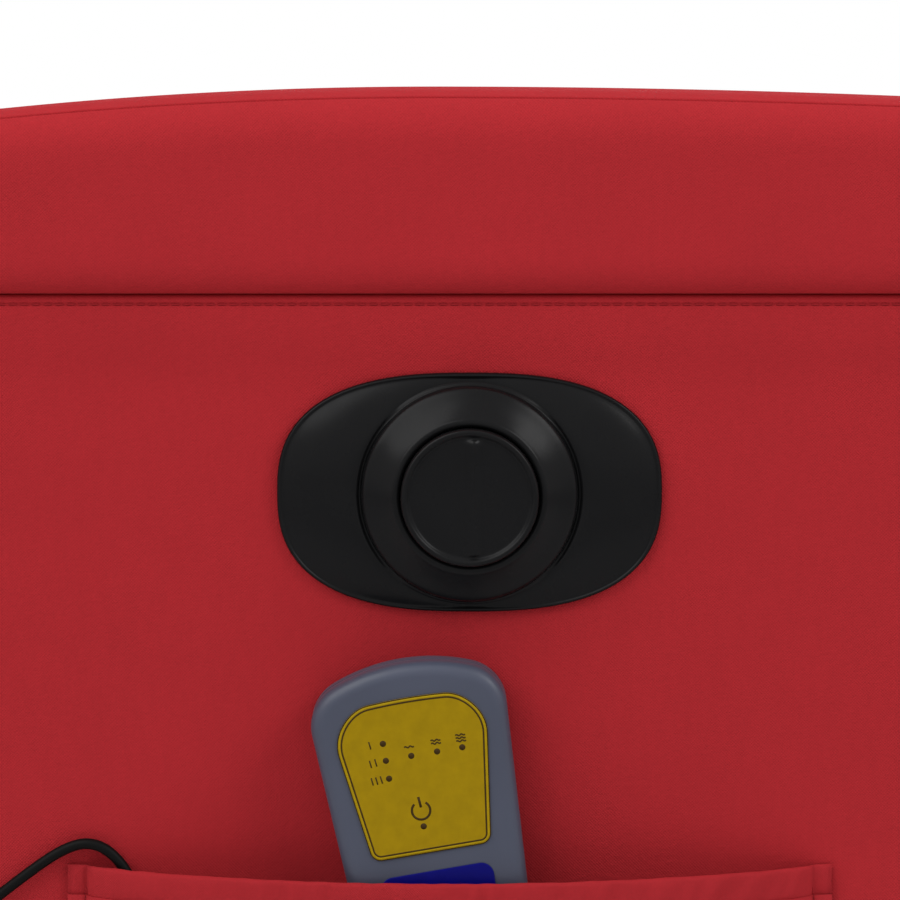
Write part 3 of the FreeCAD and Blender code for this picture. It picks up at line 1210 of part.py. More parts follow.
def seat_webbing():
    """Five elastic straps from the front rail to the rear rail, under the cushion."""
    straps = [
        board(f"strap{k}", f"{k - 2} * strap_pitch - strap_wide / 2", "seat_nose + 50",
              "seat_top - seat_thickness - strap_thick", "strap_wide", "seat_depth - 76", "strap_thick")
        for k in range(5)
    ]
    node("seat_webbing", together("group", "strap_group", straps))


def control_box():
    """The control box on the rear rail, with the socket for the power adapter's plug."""
    wide, deep, high = size("box_wide"), size("box_deep"), size("box_high")
    y = size("arm_front") + size("arm_length") - 60 - deep
    z = size("arm_bottom") + 20
    tub = Part.makeBox(wide, deep, high, Vector(-wide / 2, y, z))
    upright = [e for e in tub.Edges if e.BoundBox.ZLength > high / 2]
    tub = tub.makeFillet(4, upright)
    inside = Part.makeBox(wide - 5, deep - 5, high - 5, Vector(-wide / 2 + 2.5, y + 2.5, z + 2.5))
    spot = Vector(-wide / 2, y + deep / 2, z + high / 2)
    hole = Part.makeCylinder(size("inlet_radius"), 8, spot - Vector(2, 0, 0), Vector(1, 0, 0))
    fixed("control_box", tub.cut(inside).cut(hole).removeSplitter())
    radius, bore, long = size("inlet_radius"), size("inlet_bore"), size("inlet_long")
    barrel = Part.makeCylinder(radius, long, spot, Vector(1, 0, 0))
    lip = Part.makeCylinder(radius + 1.5, 1.2, spot - Vector(1.2, 0, 0), Vector(1, 0, 0))
    barrel = barrel.fuse(lip).cut(Part.makeCylinder(bore, long, spot - Vector(1.2, 0, 0), Vector(1, 0, 0)))
    pin = Part.makeCylinder(1.0, long - 2, spot, Vector(1, 0, 0))
    fixed("power_inlet", barrel.fuse(pin).removeSplitter())


seat_webbing()
control_box()


def check_and_write():
    """Stops if any object failed or any sub-part isn't a valid solid, then writes one STEP file for each."""
    doc.recompute()
    bad = [o.Name for o in doc.Objects if "Invalid" in o.State or "Error" in o.State]
    if bad:
        raise RuntimeError(f"these objects failed: {bad}")
    os.makedirs("parts", exist_ok=True)
    for name, item in NODES.items():
        shape = item.Shape
        if shape.isNull() or not shape.isValid() or not shape.Solids:
            raise RuntimeError(f"{name} has no valid shape")
        if min(s.Volume for s in shape.Solids) <= 0:
            raise RuntimeError(f"{name} has a solid with no volume")
        shape.exportStep(f"parts/{name}.step")


check_and_write()
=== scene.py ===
import math
from collections import Counter

import bmesh
import bpy
from mathutils import Matrix, Vector, noise
from mathutils.bvhtree import BVHTree

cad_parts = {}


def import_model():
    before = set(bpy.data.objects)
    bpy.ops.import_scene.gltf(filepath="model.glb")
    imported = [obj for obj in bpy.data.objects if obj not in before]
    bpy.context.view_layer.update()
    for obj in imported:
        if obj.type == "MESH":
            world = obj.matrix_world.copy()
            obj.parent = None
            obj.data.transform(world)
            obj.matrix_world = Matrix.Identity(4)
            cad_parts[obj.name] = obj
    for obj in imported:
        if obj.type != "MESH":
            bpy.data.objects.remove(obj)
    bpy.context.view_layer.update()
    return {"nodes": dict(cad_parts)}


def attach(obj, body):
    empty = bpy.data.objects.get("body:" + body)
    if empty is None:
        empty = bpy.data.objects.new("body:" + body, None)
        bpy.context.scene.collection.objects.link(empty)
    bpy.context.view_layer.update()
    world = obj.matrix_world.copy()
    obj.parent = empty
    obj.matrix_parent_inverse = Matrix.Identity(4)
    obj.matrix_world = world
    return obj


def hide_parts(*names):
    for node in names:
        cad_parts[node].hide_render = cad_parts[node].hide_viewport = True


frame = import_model()
MM = 0.001
FACE = -380.0


# Camera, light and floor

def new_object(name, data):
    """An object in the scene that shows the data."""
    obj = bpy.data.objects.new(name, data)
    bpy.context.scene.collection.objects.link(obj)
    return obj


def look_at(obj, target):
    """Turns an object so that its -Z points at the target with +Y up."""
    direction = Vector(target) - obj.location
    obj.rotation_euler = direction.to_track_quat("-Z", "Y").to_euler()


def camera():
    """The photo's viewpoint: square to the right arm and a little above the knob."""
    data = bpy.data.cameras.new("photo_camera")
    cam = new_object("photo_camera", data)
    target = Vector((FACE * MM, -0.0819, 0.5068))
    cam.location = (-1.430, -0.0819, 0.6185)
    look_at(cam, target)
    seen_width = 0.2805
    data.sensor_width = 36.0
    data.lens = data.sensor_width * (target - cam.location).length / seen_width
    data.clip_start = 0.01
    data.clip_end = 30
    data.dof.use_dof = False
    bpy.context.scene.camera = cam


def area_light(name, place, target, size, power):
    """A white panel light, turned to its target."""
    data = bpy.data.lights.new(name, "AREA")
    data.shape = "RECTANGLE"
    data.size, data.size_y = size
    data.energy = power
    obj = new_object(name, data)
    obj.location = place
    look_at(obj, target)


def world():
    """White to the camera, in mirrors and through glass, and a weaker even light on the rest."""
    scene = bpy.context.scene
    scene.view_settings.view_transform = "Standard"
    scene.world = bpy.data.worlds.new("studio")
    scene.world.use_nodes = True
    nt = scene.world.node_tree
    nt.nodes.clear()
    out = nt.nodes.new("ShaderNodeOutputWorld")
    mix = nt.nodes.new("ShaderNodeMixShader")
    light = nt.nodes.new("ShaderNodeBackground")
    light.inputs["Color"].default_value = (0.96, 0.97, 1.0, 1)
    light.inputs["Strength"].default_value = 0.42
    white = nt.nodes.new("ShaderNodeBackground")
    white.inputs["Color"].default_value = (1, 1, 1, 1)
    path = nt.nodes.new("ShaderNodeLightPath")
    seen = path.outputs["Is Camera Ray"]
    for kind in ("Is Glossy Ray", "Is Transmission Ray"):
        either = nt.nodes.new("ShaderNodeMath")
        either.operation = "MAXIMUM"
        nt.links.new(seen, either.inputs[0])
        nt.links.new(path.outputs[kind], either.inputs[1])
        seen = either.outputs[0]
    nt.links.new(seen, mix.inputs["Fac"])
    nt.links.new(light.outputs[0], mix.inputs[1])
    nt.links.new(white.outputs[0], mix.inputs[2])
    nt.links.new(mix.outputs[0], out.inputs["Surface"])


def floor():
    """A wide pale ground that takes the soft shadows and isn't part of the chair."""
    mesh = bpy.data.meshes.new("floor")
    far = 6.0
    corners = [(-far, -far, 0), (far, -far, 0), (far, far, 0), (-far, far, 0)]
    mesh.from_pydata(corners, [], [(0, 1, 2, 3)])
    obj = new_object("floor", mesh)
    mat = bpy.data.materials.new("pale_floor")
    mat.use_nodes = True
    nt = mat.node_tree
    bsdf = nt.nodes["Principled BSDF"]
    bsdf.inputs["Base Color"].default_value = (0.72, 0.72, 0.72, 1)
    speck = nt.nodes.new("ShaderNodeTexNoise")
    speck.inputs["Scale"].default_value = 3.0
    ramp = nt.nodes.new("ShaderNodeMapRange")
    ramp.inputs["To Min"].default_value = 0.74
    ramp.inputs["To Max"].default_value = 0.86
    nt.links.new(speck.outputs["Fac"], ramp.inputs["Value"])
    nt.links.new(ramp.outputs[0], bsdf.inputs["Roughness"])
    mesh.materials.append(mat)


camera()
world()
floor()
AIM = (-0.3, -0.05, 0.5)
area_light("key_left", (-1.24, 1.05, 1.89), AIM, (1.6, 1.6), 24.5)
area_light("key_right", (-1.21, -1.49, 1.65), AIM, (0.9, 0.9), 14.5)
area_light("top", (0.4, 0.0, 3.0), AIM, (2.4, 2.4), 9)
area_light("front", (0.6, -3.2, 1.4), AIM, (1.6, 1.2), 34)
area_light("rear", (1.6, 3.0, 1.5), AIM, (1.6, 1.2), 30)


# Materials

class Nodes:
    """Short calls for a material's node tree."""

    def __init__(self, name):
        self.mat = bpy.data.materials.new(name)
        self.mat.use_nodes = True
        self.nt = self.mat.node_tree
        self.bsdf = self.nt.nodes["Principled BSDF"]

    def put(self, socket, value):
        if isinstance(value, bpy.types.NodeSocket):
            self.nt.links.new(value, socket)
        else:
            socket.default_value = value

    def set(self, **values):
        """Puts values or links on the shader's own sockets; a name's underscores are spaces."""
        for key, value in values.items():
            self.put(self.bsdf.inputs[key.replace("_", " ")], value)

    def node(self, kind, **inputs):
        """A new node with values or links on its named inputs."""
        made = self.nt.nodes.new("ShaderNode" + kind)
        for name, value in inputs.items():
            self.put(made.inputs[name], value)
        return made

    def math(self, operation, a, b=None):
        node = self.node("Math")
        node.operation = operation
        for socket, value in zip(node.inputs, (a, b)):
            if value is not None:
                self.put(socket, value)
        return node.outputs[0]

    def blend(self, *parts):
        """The sum of values, each times its weight."""
        terms = [self.math("MULTIPLY", value, weight) for value, weight in parts]
        whole = terms[0]
        for term in terms[1:]:
            whole = self.math("ADD", whole, term)
        return whole

    def mix(self, fac, a, b):
        node = self.node("Mix")
        node.data_type = "RGBA"
        self.put(node.inputs[0], fac)
        self.put(node.inputs[6], (*a, 1.0))
        self.put(node.inputs[7], (*b, 1.0))
        return node.outputs[2]

    def noise(self, vector, scale, detail=2.0, rough=0.5):
        node = self.node("TexNoise", Vector=vector, Scale=scale, Detail=detail, Roughness=rough)
        return node.outputs["Fac"]

    def ramp(self, value, low, high, to_low=0.0, to_high=1.0):
        node = self.node("MapRange")
        for socket, number in zip(node.inputs, (value, low, high, to_low, to_high)):
            self.put(socket, number)
        return node.outputs[0]

    def bump(self, height, strength, distance, normal=None):
        node = self.node("Bump", Height=height, Strength=strength, Distance=distance)
        if normal is not None:
            self.put(node.inputs["Normal"], normal)
        return node.outputs[0]

    def coords(self):
        node = self.node("TexCoord")
        return node.outputs["Object"], node.outputs["Normal"]

    def stretched(self, vector, scale):
        return self.node("Mapping", Vector=vector, Scale=scale).outputs[0]

    def split(self, vector):
        return self.node("SeparateXYZ", Vector=vector).outputs


def shade_of(colour, factor):
    return tuple(min(1.0, c * factor) for c in colour)


def weave_height(n, where, normal, pitch):
    """A plain weave on each of the three planes, chosen by the way the surface faces."""
    waves = [n.math("SINE", n.math("MULTIPLY", axis, 2 * math.pi / pitch)) for axis in n.split(where)]
    weights = [n.math("POWER", n.math("ABSOLUTE", axis), 6.0) for axis in n.split(normal)]
    total = n.math("ADD", n.math("ADD", weights[0], weights[1]), weights[2])
    laid = []
    for k in range(3):
        across = n.math("MULTIPLY", waves[(k + 1) % 3], waves[(k + 2) % 3])
        laid.append(n.math("MULTIPLY", across, weights[k]))
    return n.math("DIVIDE", n.math("ADD", n.math("ADD", laid[0], laid[1]), laid[2]), total)


def fabric(name, colour, pitch=0.0010, sheen=0.04, contrast=0.13, crease=0.0005, grain=1.3):
    """Woven upholstery fabric: weave, slubs, a soft mottling, small creases and a little sheen."""
    n = Nodes(name)
    where, normal = n.coords()
    weave = weave_height(n, where, normal, pitch)
    fine = n.noise(where, 1500.0, 2.0, 0.6)
    slubs = n.noise(n.stretched(where, (1, 1, 0.25)), 420.0, 2.0, 0.5)
    cloud = n.noise(where, 26.0, 3.0, 0.55)
    mottle = n.blend((weave, 0.16), (fine, 0.9), (slubs, 0.3), (cloud, 0.35))
    tone = n.ramp(mottle, 0.45, 1.3)
    n.set(
        Base_Color=n.mix(tone, shade_of(colour, 1 - contrast), shade_of(colour, 1 + contrast)),
        Roughness=n.ramp(fine, 0.3, 0.7, 0.82, 0.94),
        Specular_IOR_Level=0.08,
        Sheen_Weight=sheen,
        Sheen_Roughness=0.5,
        Sheen_Tint=(*(min(1.0, c * 1.3 + 0.04) for c in colour), 1.0),
    )
    creases = n.bump(n.noise(where, 30.0, 3.0, 0.5), 0.5, crease)
    coarse = n.noise(where, 620.0, 2.0, 0.5)
    relief = n.blend((weave, 0.35), (fine, 1.0), (coarse, 1.6))
    n.set(Normal=n.bump(relief, 0.5, 0.00026 * grain, creases))
    return n.mat


def plastic(name, colour, rough=0.42, grain=900.0, depth=0.00005, spec=0.35, scuff=0.05):
    """Moulded plastic with a fine spark-eroded grain, faint blotches and scuffed high spots."""
    n = Nodes(name)
    where, _ = n.coords()
    blotches = n.ramp(n.noise(where, 18.0, 3.0), 0.3, 0.7)
    n.set(
        Base_Color=n.mix(blotches, shade_of(colour, 0.9), shade_of(colour, 1.1)),
        Roughness=n.ramp(n.noise(where, 60.0, 4.0, 0.6), 0.3, 0.7, rough - scuff, rough + scuff),
        Specular_IOR_Level=spec,
        Normal=n.bump(n.noise(where, grain, 2.0, 0.6), 0.5, depth),
    )
    return n.mat


def metal(name, colour, rough=0.35, metallic=1.0, along=(1, 1, 1)):
    """Metal or powder coat with fine scratches and small colour changes."""
    n = Nodes(name)
    where, _ = n.coords()
    scratch = n.noise(n.stretched(where, along), 260.0, 4.0, 0.65)
    stains = n.ramp(n.noise(where, 9.0, 3.0), 0.3, 0.7)
    n.set(
        Base_Color=n.mix(stains, shade_of(colour, 0.85), shade_of(colour, 1.1)),
        Metallic=metallic,
        Roughness=n.ramp(scratch, 0.3, 0.7, rough - 0.1, rough + 0.12),
        Normal=n.bump(scratch, 0.25, 0.00005),
    )
    return n.mat


def wood(name):
    """Raw plywood: pale face grain with darker streaks."""
    n = Nodes(name)
    where, _ = n.coords()
    grain = n.noise(n.stretched(where, (0.1, 1, 1)), 130.0, 5.0, 0.6)
    rings = n.node("TexWave", Vector=where, Scale=9.0, Distortion=7.0, Detail=3.0)
    streak = n.blend((grain, 0.92), (rings.outputs["Fac"], 0.08))
    n.set(
        Base_Color=n.mix(n.ramp(streak, 0.25, 0.75), (0.44, 0.28, 0.145), (0.60, 0.41, 0.23)),
        Roughness=n.ramp(grain, 0.3, 0.7, 0.55, 0.75),
        Normal=n.bump(streak, 0.3, 0.0002),
    )
    return n.mat


def film(name, colour, rough=0.45, spec=0.10):
    """Printed keypad film with a faint orange-peel surface."""
    n = Nodes(name)
    where, _ = n.coords()
    ink = n.ramp(n.noise(where, 300.0, 3.0), 0.3, 0.7)
    n.set(
        Base_Color=n.mix(ink, shade_of(colour, 0.93), shade_of(colour, 1.07)),
        Roughness=n.ramp(n.noise(where, 500.0), 0.3, 0.7, rough - 0.05, rough + 0.05),
        Specular_IOR_Level=spec,
        Normal=n.bump(n.noise(where, 700.0), 0.4, 0.00003),
    )
    return n.mat


RED = (0.430, 0.0226, 0.0286)
GLOSS_BLACK = (0.0062, 0.0062, 0.0066)
MATS = {
    "red": fabric("red_fabric", RED),
    "seat_red": fabric("seat_red_fabric", RED, crease=0.0012),
    "hem_red": fabric("hem_red_fabric", (0.405, 0.0225, 0.0285), pitch=0.0008, crease=0.0003),
    "thread": fabric("red_thread", (0.37, 0.020, 0.026), pitch=0.0006, sheen=0.05),
    "black": plastic("black_plastic", GLOSS_BLACK, rough=0.27, spec=0.10, depth=0.00002),
    "knob": plastic("black_knob_plastic", GLOSS_BLACK, rough=0.27, spec=0.10, depth=0.00002),
    "foot": plastic("black_foot_plastic", (0.014, 0.014, 0.014), rough=0.5),
    "box": plastic("grey_box_plastic", (0.03, 0.03, 0.032), rough=0.5),
    "dark_metal": metal("dark_powder_coat", (0.028, 0.028, 0.030), rough=0.45, metallic=0.0),
    "steel": metal("zinc_steel", (0.55, 0.55, 0.56), rough=0.34, along=(1, 1, 14)),
    "grey": plastic("grey_blue_plastic", (0.064, 0.072, 0.105), rough=0.40, grain=1100.0, spec=0.3),
    "yellow": film("yellow_film", (0.325, 0.207, 0.0008)),
    "yellow_edge": film("yellow_film_edge", (0.37, 0.245, 0.002)),
    # The dark print colour also paints the shadow band along the upper film's outer edge
    "print": film("dark_print_and_painted_shade", (0.045, 0.024, 0.004), rough=0.5),
    "blue": film("blue_film", (0.002, 0.002, 0.142)),
    "blue_print": film("pale_print", (0.35, 0.36, 0.60), rough=0.5),
    "rubber": plastic("black_rubber", (0.0030, 0.0032, 0.0030), rough=0.5, grain=600.0, spec=0.08),
    "elastic": fabric("black_elastic", (0.03, 0.03, 0.03), pitch=0.0016),
    "circuit": film("circuit_green", (0.01, 0.10, 0.04)),
    "lamp": plastic("lamp_dark", (0.055, 0.03, 0.006), rough=0.3),
    "wood": wood("raw_plywood"),
}
USES = {
    "black": ["cable_drum", "cable_housing", "back_motor_housings", "seat_motor_housings"],
    "foot": ["feet"],
    "box": ["control_box"],
    "dark_metal": [
        "side_plate_left", "side_plate_right", "scissor_drive_links", "scissor_rear_links",
        "scissor_front_down_links", "scissor_front_up_links", "drive_tube", "footrest_brackets",
        "back_brackets", "seat_rail_hangers",
    ],
    "steel": [
        "housing_screws", "remote_screws", "power_inlet", "seat_motor_weight_left", "seat_motor_weight_right",
        "back_motor_weight_left", "back_motor_weight_right",
    ],
    "yellow": ["power_key"],
    "blue": ["mode_key", "level_key", "heat_key"],
    "rubber": ["cord_grommet", "remote_strain_relief"],
    "elastic": ["seat_webbing"],
    "circuit": ["remote_circuit_board"],
    "lamp": ["remote_lamps"],
    "wood": [
        "arm_frame_left", "arm_frame_right", "base_cross_rails", "seat_rails", "back_frame", "footrest_board",
    ],
}
for key, names in USES.items():
    for node_name in names:
        for socket in frame["nodes"][node_name].material_slots:
            socket.material = MATS[key]


# Pieces

def dress(obj, material, body, stands_for=(), slot="red_fabric", subdivide=0):
    """Gives a piece its material, smooth shading and body, and hides the nodes that it stands for; slot is
    not used.
    """
    obj.data.materials.clear()
    obj.data.materials.append(MATS[material])
    if obj.type == "MESH":
        for polygon in obj.data.polygons:
            polygon.use_smooth = True
    if subdivide:
        modifier = obj.modifiers.new("smooth", "SUBSURF")
        modifier.levels = subdivide
        modifier.render_levels = subdivide
    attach(obj, body)
    if stands_for:
        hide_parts(*stands_for)
    return obj


def piece(name, verts, faces, *look, **more):
    """A mesh piece from points in metres. What follows the faces goes to dress()."""
    mesh = bpy.data.meshes.new(name)
    mesh.from_pydata([tuple(v) for v in verts], [], faces)
    mesh.validate()
    bm = bmesh.new()
    bm.from_mesh(mesh)
    bmesh.ops.recalc_face_normals(bm, faces=bm.faces)
    bm.to_mesh(mesh)
    bm.free()
    return dress(new_object(name, mesh), *look, **more)


def skin(rings, cap_first=True, cap_last=True, closed_rows=False):
    """The points and faces of a surface through closed rings of as many points each."""
    rows, columns = len(rings), len(rings[0])
    verts = [p for ring in rings for p in ring]
    faces = []
    for i in range(rows if closed_rows else rows - 1):
        for j in range(columns):
            a, b = i * columns, (i + 1) % rows * columns
            k = (j + 1) % columns
            faces.append((a + j, a + k, b + k, b + j))
    if cap_first and not closed_rows:
        faces.append(tuple(range(columns))[::-1])
    if cap_last and not closed_rows:
        faces.append(tuple(range((rows - 1) * columns, rows * columns)))
    return verts, faces


def rounded_ring(half_x, half_y, corner, along_x=10, along_y=40, turns=8):
    """A rounded rectangle about the origin, counter-clockwise, with as many points at any size."""
    points = []
    corner = max(0.05, min(corner, half_x - 0.02, half_y - 0.02))
    inner_x, inner_y = half_x - corner, half_y - corner
    for quarter in range(4):
        sx, sy = ((1, 1), (-1, 1), (-1, -1), (1, -1))[quarter]
        for i in range(turns + 1):
            a = math.pi / 2 * (quarter + i / turns)
            points.append((sx * inner_x + corner * math.cos(a), sy * inner_y + corner * math.sin(a)))
        count = along_x if quarter % 2 == 0 else along_y
        start = points[-1]
        nx, ny = ((-1, 1), (-1, -1), (1, -1), (1, 1))[quarter]
        a = math.pi / 2 * (quarter + 1)
        stop = (nx * inner_x + corner * math.cos(a), ny * inner_y + corner * math.sin(a))
        for i in range(1, count):
            t = i / count
            points.append((start[0] + (stop[0] - start[0]) * t, start[1] + (stop[1] - start[1]) * t))
    return points


def wave(x, y, z, scale, seed=0.0):
    """Smooth noise of about -1 to 1 whose features are scale millimetres apart."""
    return noise.noise(Vector((x, y, z)) / scale + Vector((seed, seed * 1.7, seed * 0.3)))


def arc(centre, radius, start, stop, count):
    """Points along a circle, from one angle to another in degrees."""
    steps = [math.radians(start + (stop - start) * k / count) for k in range(count + 1)]
    return [(centre[0] + radius * math.cos(a), centre[1] + radius * math.sin(a)) for a in steps]


def stitches(name, path, body, pitch=3.6, length=2.7, radius=0.32, closed=True):
    """A row of sewn stitches along a path of points in millimetres."""
    verts, faces = [], []
    points = path + path[:1] if closed else path
    travelled, target = 0.0, 0.0
    for a, b in zip(points, points[1:]):
        run = (b - a).length
        if run < 1e-6:
            continue
        ahead = (b - a) / run
        side = ahead.cross(Vector((0, 0, 1)) if abs(ahead.z) < 0.9 else Vector((1, 0, 0))).normalized()
        other = ahead.cross(side)
        while target < travelled + run:
            middle = a + ahead * (target - travelled)
            tube = []
            for t in (0.0, 0.25, 0.5, 0.75, 1.0):
                thick = radius * (0.35 + 0.65 * math.sin(math.pi * (0.12 + 0.76 * t)))
                centre = middle + ahead * (t - 0.5) * length
                around = arc((0.0, 0.0), thick, 0, 300, 5)
                tube.append([(centre + side * c + other * s) * MM for c, s in around])
            more_verts, more_faces = skin(tube)
            faces += [tuple(len(verts) + i for i in face) for face in more_faces]
            verts += more_verts
            target += pitch
        travelled += run
    return piece(name, verts, faces, "thread", body)


def curve_piece(name, points, radius, material, body, stands_for=(), slot="red_fabric", order=3,
                cyclic=False):
    """A round thread or cord along a smooth spline."""
    data = bpy.data.curves.new(name, "CURVE")
    data.dimensions = "3D"
    data.bevel_depth = radius
    data.bevel_resolution = 5
    data.resolution_u = 14
    data.use_fill_caps = True
    spline = data.splines.new("NURBS")
    spline.points.add(len(points) - 1)
    for p, co in zip(spline.points, points):
        p.co = (*co, 1.0)
    spline.order_u = order
    spline.use_endpoint_u = not cyclic
    spline.use_cyclic_u = cyclic
    return dress(new_object(name, data), material, body, stands_for, slot)


# The remote's cord

# Chosen along the photo's visible stretch and a hanging loop, in millimetres, as in the part's source
CORD = [
    (-388.8, -98.87, 253.13), (-388.8, -102.78, 230.46), (-389, -82, 207), (-389, -44, 205),
    (-387.5, -8, 228),
    (-385.5, 12, 268), (-384.4, 6.5, 302), (-383.9, 8, 334), (-383.6, 12.5, 356), (-383.3, 19, 373.5),
    (-382.8, 27.6, 382.5), (-382.8, 37.6, 382.5), (-382.9, 53.5, 371.5), (-383.2, 80, 350), (-384, 110, 312),
    (-384.6, 130, 262), (-385.4, 141, 206), (-386, 150, 150), (-386.2, 163, 105), (-386, 190, 79),
    (-385.7, 228, 84), (-385.3, 251, 112), (-385, 261, 148), (-384.8, 260.5, 188), (-384.1, 262, 214),
]
CORD_THICK = 3.4


def remote_cord():
    """The remote's cord, from its strain relief over the hem and down to the grommet in the arm."""
    points = [Vector(p) * MM for p in CORD]
    cord = curve_piece("remote_cord_line", points, CORD_THICK / 2 * MM, "rubber", "base", ("remote_cord",),
                       "black_rubber")


remote_cord()


# Arms: a fabric cover over the box, and a boxed pad sewn on top of it

ARM_MIDDLE = (325.0, -58.0)
ARM_HALF = (55.0, 350.0)
ARM_SEAM = 555.0
HANDLE_Y, HANDLE_Z = -88.0, 493.6
HOLE = 27.0
PAD_OVER, PAD_LOW_IN, PAD_LOW_UP, PAD_ROUND = 8.0, 5.6, 11.0, 16.0
PAD_START = ARM_SEAM + 0.8
PUFF = 2.5
CREST_Y, CREST_Z = -76.0, 618.5
CROWN_FRONT, CROWN_REAR, CROWN_LONG = 3800.0, 1374.0, 136.0
STITCH_Z = 552.4


def dent(distance, width):
    """The share of a groove's depth at a distance from its middle."""
    return math.exp(-((distance / width) ** 2))


def pad_top(y):
    """The height of an arm pad's top along the arm."""
    off = y - CREST_Y
    if off < 0:
        return CREST_Z - CROWN_FRONT + math.sqrt(CROWN_FRONT**2 - off**2)
    near = min(off, CROWN_LONG)
    slope = math.tan(math.asin(CROWN_LONG / CROWN_REAR))
    return CREST_Z - CROWN_REAR + math.sqrt(CROWN_REAR**2 - near**2) - max(0.0, off - CROWN_LONG) * slope


def arm_ring(inset, z, side, over=0.0, ripple=0.0):
    """One level of an arm's outline; z is a height or gives one for each point."""
    ring = []
    half_x, half_y = ARM_HALF[0] + over - inset, ARM_HALF[1] + over - inset
    outline = rounded_ring(half_x, half_y, 10 + over - inset * 0.6, 12, 96, 8)
    for px, py in outline:
        x, y = px + ARM_MIDDLE[0], py + ARM_MIDDLE[1]
        height = z(x, y) if callable(z) else z
        if ripple:
            out = Vector((px * ARM_HALF[1] / ARM_HALF[0], py)).normalized()
            give = ripple * wave(x, y, height, 70, 3.1 * side)
            x, y = x + out.x * give, y + out.y * give
        ring.append(Vector((side * x, y, height)) * MM)
    return ring


def arm_cover(side, name):
    """Foam and fabric over an arm's box, puffed under the seam, with the knob's hole in the right one."""
    rows = [(14.0, 60.6), (7.0, 60.0), (3.0, 60.8), (0.8, 63.5), (0.0, 68.0)]
    rows += [(0.0, z) for z in (84, 108, 140, 172, 204, 236, 268, 300, 330, 360, 390, 415)]
    rows += [(0.0, HANDLE_Z + k * 6.0) for k in range(-11, 6)]
    puffed = ((0.1, 530.0), (0.5, 536.0), (0.85, 542.0), (1.0, 548.0))
    rows += [(-PUFF * share, z) for share, z in puffed]
    for k in range(-4, 5):
        z = STITCH_Z + 0.28 * k
        rows.append((0.4 * dent(z - STITCH_Z, 0.55) + 0.02 * (k + 4) - PUFF, z))
    rows += [(0.25 - PUFF, 554.2), (0.7 - PUFF, 555.0), (1.5 - PUFF, 555.5)]
    rows += [(0.8, 555.8), (4.0, 555.4), (11.0, 554.0)]
    rings = [arm_ring(inset, z, side, ripple=0.35 if inset == 0 else 0.0) for inset, z in rows]
    verts, faces = skin(rings)
    axis = Vector((0, HANDLE_Y, HANDLE_Z)) * MM
    outer = ARM_MIDDLE[0] * MM

    def stays(face):
        """Whether a face is clear of the knob's hole."""
        middle = sum((verts[i] for i in face), Vector()) / len(face)
        reach = math.hypot(middle.y - axis.y, middle.z - axis.z)
        return abs(middle.x) < outer or len(face) > 4 or reach > HOLE * MM - 0.001

    if side < 0:
        faces = [face for face in faces if stays(face)]
        uses = Counter(frozenset(edge) for face in faces for edge in zip(face, face[1:] + face[:1]))
        rim = {i for edge, count in uses.items() if count == 1 for i in edge}
        for i in rim:
            out = Vector((0, verts[i].y - axis.y, verts[i].z - axis.z)).normalized()
            verts[i] = Vector((verts[i].x, axis.y, axis.z)) + out * HOLE * MM
    cover = piece(name, verts, faces, "red", "base", (name.replace("_cloth", ""),))
    wall = cover.modifiers.new("foam", "SOLIDIFY")
    wall.thickness = 3.0 * MM
    wall.offset = -1.0
    path = [p / MM for p in arm_ring(0.15 - PUFF, STITCH_Z, side)]
    stitches(name + "_topstitch", path, "base")


def arm_pad(side, name):
    """Boxed pad: it curves in to the seam below, and a seam runs along its top edge."""
    top_seam = math.radians(57.6)

    def edge_height(turn, dip=0.0):
        return lambda x, y: pad_top(y) - PAD_ROUND + (PAD_ROUND - dip) * math.sin(turn)

    def crown(x, y):
        share = (x - ARM_MIDDLE[0]) / (ARM_HALF[0] + PAD_OVER - PAD_ROUND)
        return pad_top(y) + 1.0 * (1 - min(1.0, share * share))

    def side_height(t):
        low = PAD_START + PAD_LOW_UP
        return lambda x, y: low + (pad_top(y) - PAD_ROUND - low) * t

    rings = [arm_ring(16.0, 556.6, side, PAD_OVER), arm_ring(10.0, 555.2, side, PAD_OVER)]
    for k in range(9):
        turn = math.radians(90 * k / 8)
        inset = PAD_LOW_IN * (1 - math.sin(turn))
        z = PAD_START + PAD_LOW_UP * (1 - math.cos(turn))
        rings.append(arm_ring(inset, z, side, PAD_OVER))
    for k in range(1, 8):
        rings.append(arm_ring(0.0, side_height(k / 8), side, PAD_OVER, ripple=0.4))
    for degrees in (0, 10, 20, 30, 40, 48, 53, 55.2, 56.2, 57, 57.6, 58.2, 59, 60, 62.2, 67, 74, 82, 90):
        turn = math.radians(degrees)
        beside = (turn - top_seam) * PAD_ROUND
        dip = 0.8 * dent(beside, 0.32) - 0.25 * dent(beside, 1.6)
        inset = PAD_ROUND - (PAD_ROUND - dip) * math.cos(turn)
        rings.append(arm_ring(inset, edge_height(turn, dip), side, PAD_OVER))
    for inset in (18, 22, 28, 36, 44, 52, 58, 62, 62.9):
        rings.append(arm_ring(inset, crown, side, PAD_OVER))
    pad = piece(name, *skin(rings), "red", "base", (name.replace("_cushion", ""),))


for side, word in ((-1, "right"), (1, "left")):
    arm_cover(side, f"arm_cover_{word}_cloth")
    arm_pad(side, f"arm_top_pad_{word}_cushion")


# Side pocket: gathered cloth with an elastic hem

POCKET_REAR, POCKET_WIDE = 38.7, 241.0
POCKET_LOW, MOUTH = 190.0, 374.0
HEM_TALL, MOUTH_DIP = 10.5, 1.6
BULGE, END_SQUARE = 21.4, 5.9


def mouth_height(y):
    """The height of the pocket's mouth, which dips in the middle."""
    share = (y - (POCKET_REAR - POCKET_WIDE / 2)) / (POCKET_WIDE / 2)
    return MOUTH + MOUTH_DIP * share * share


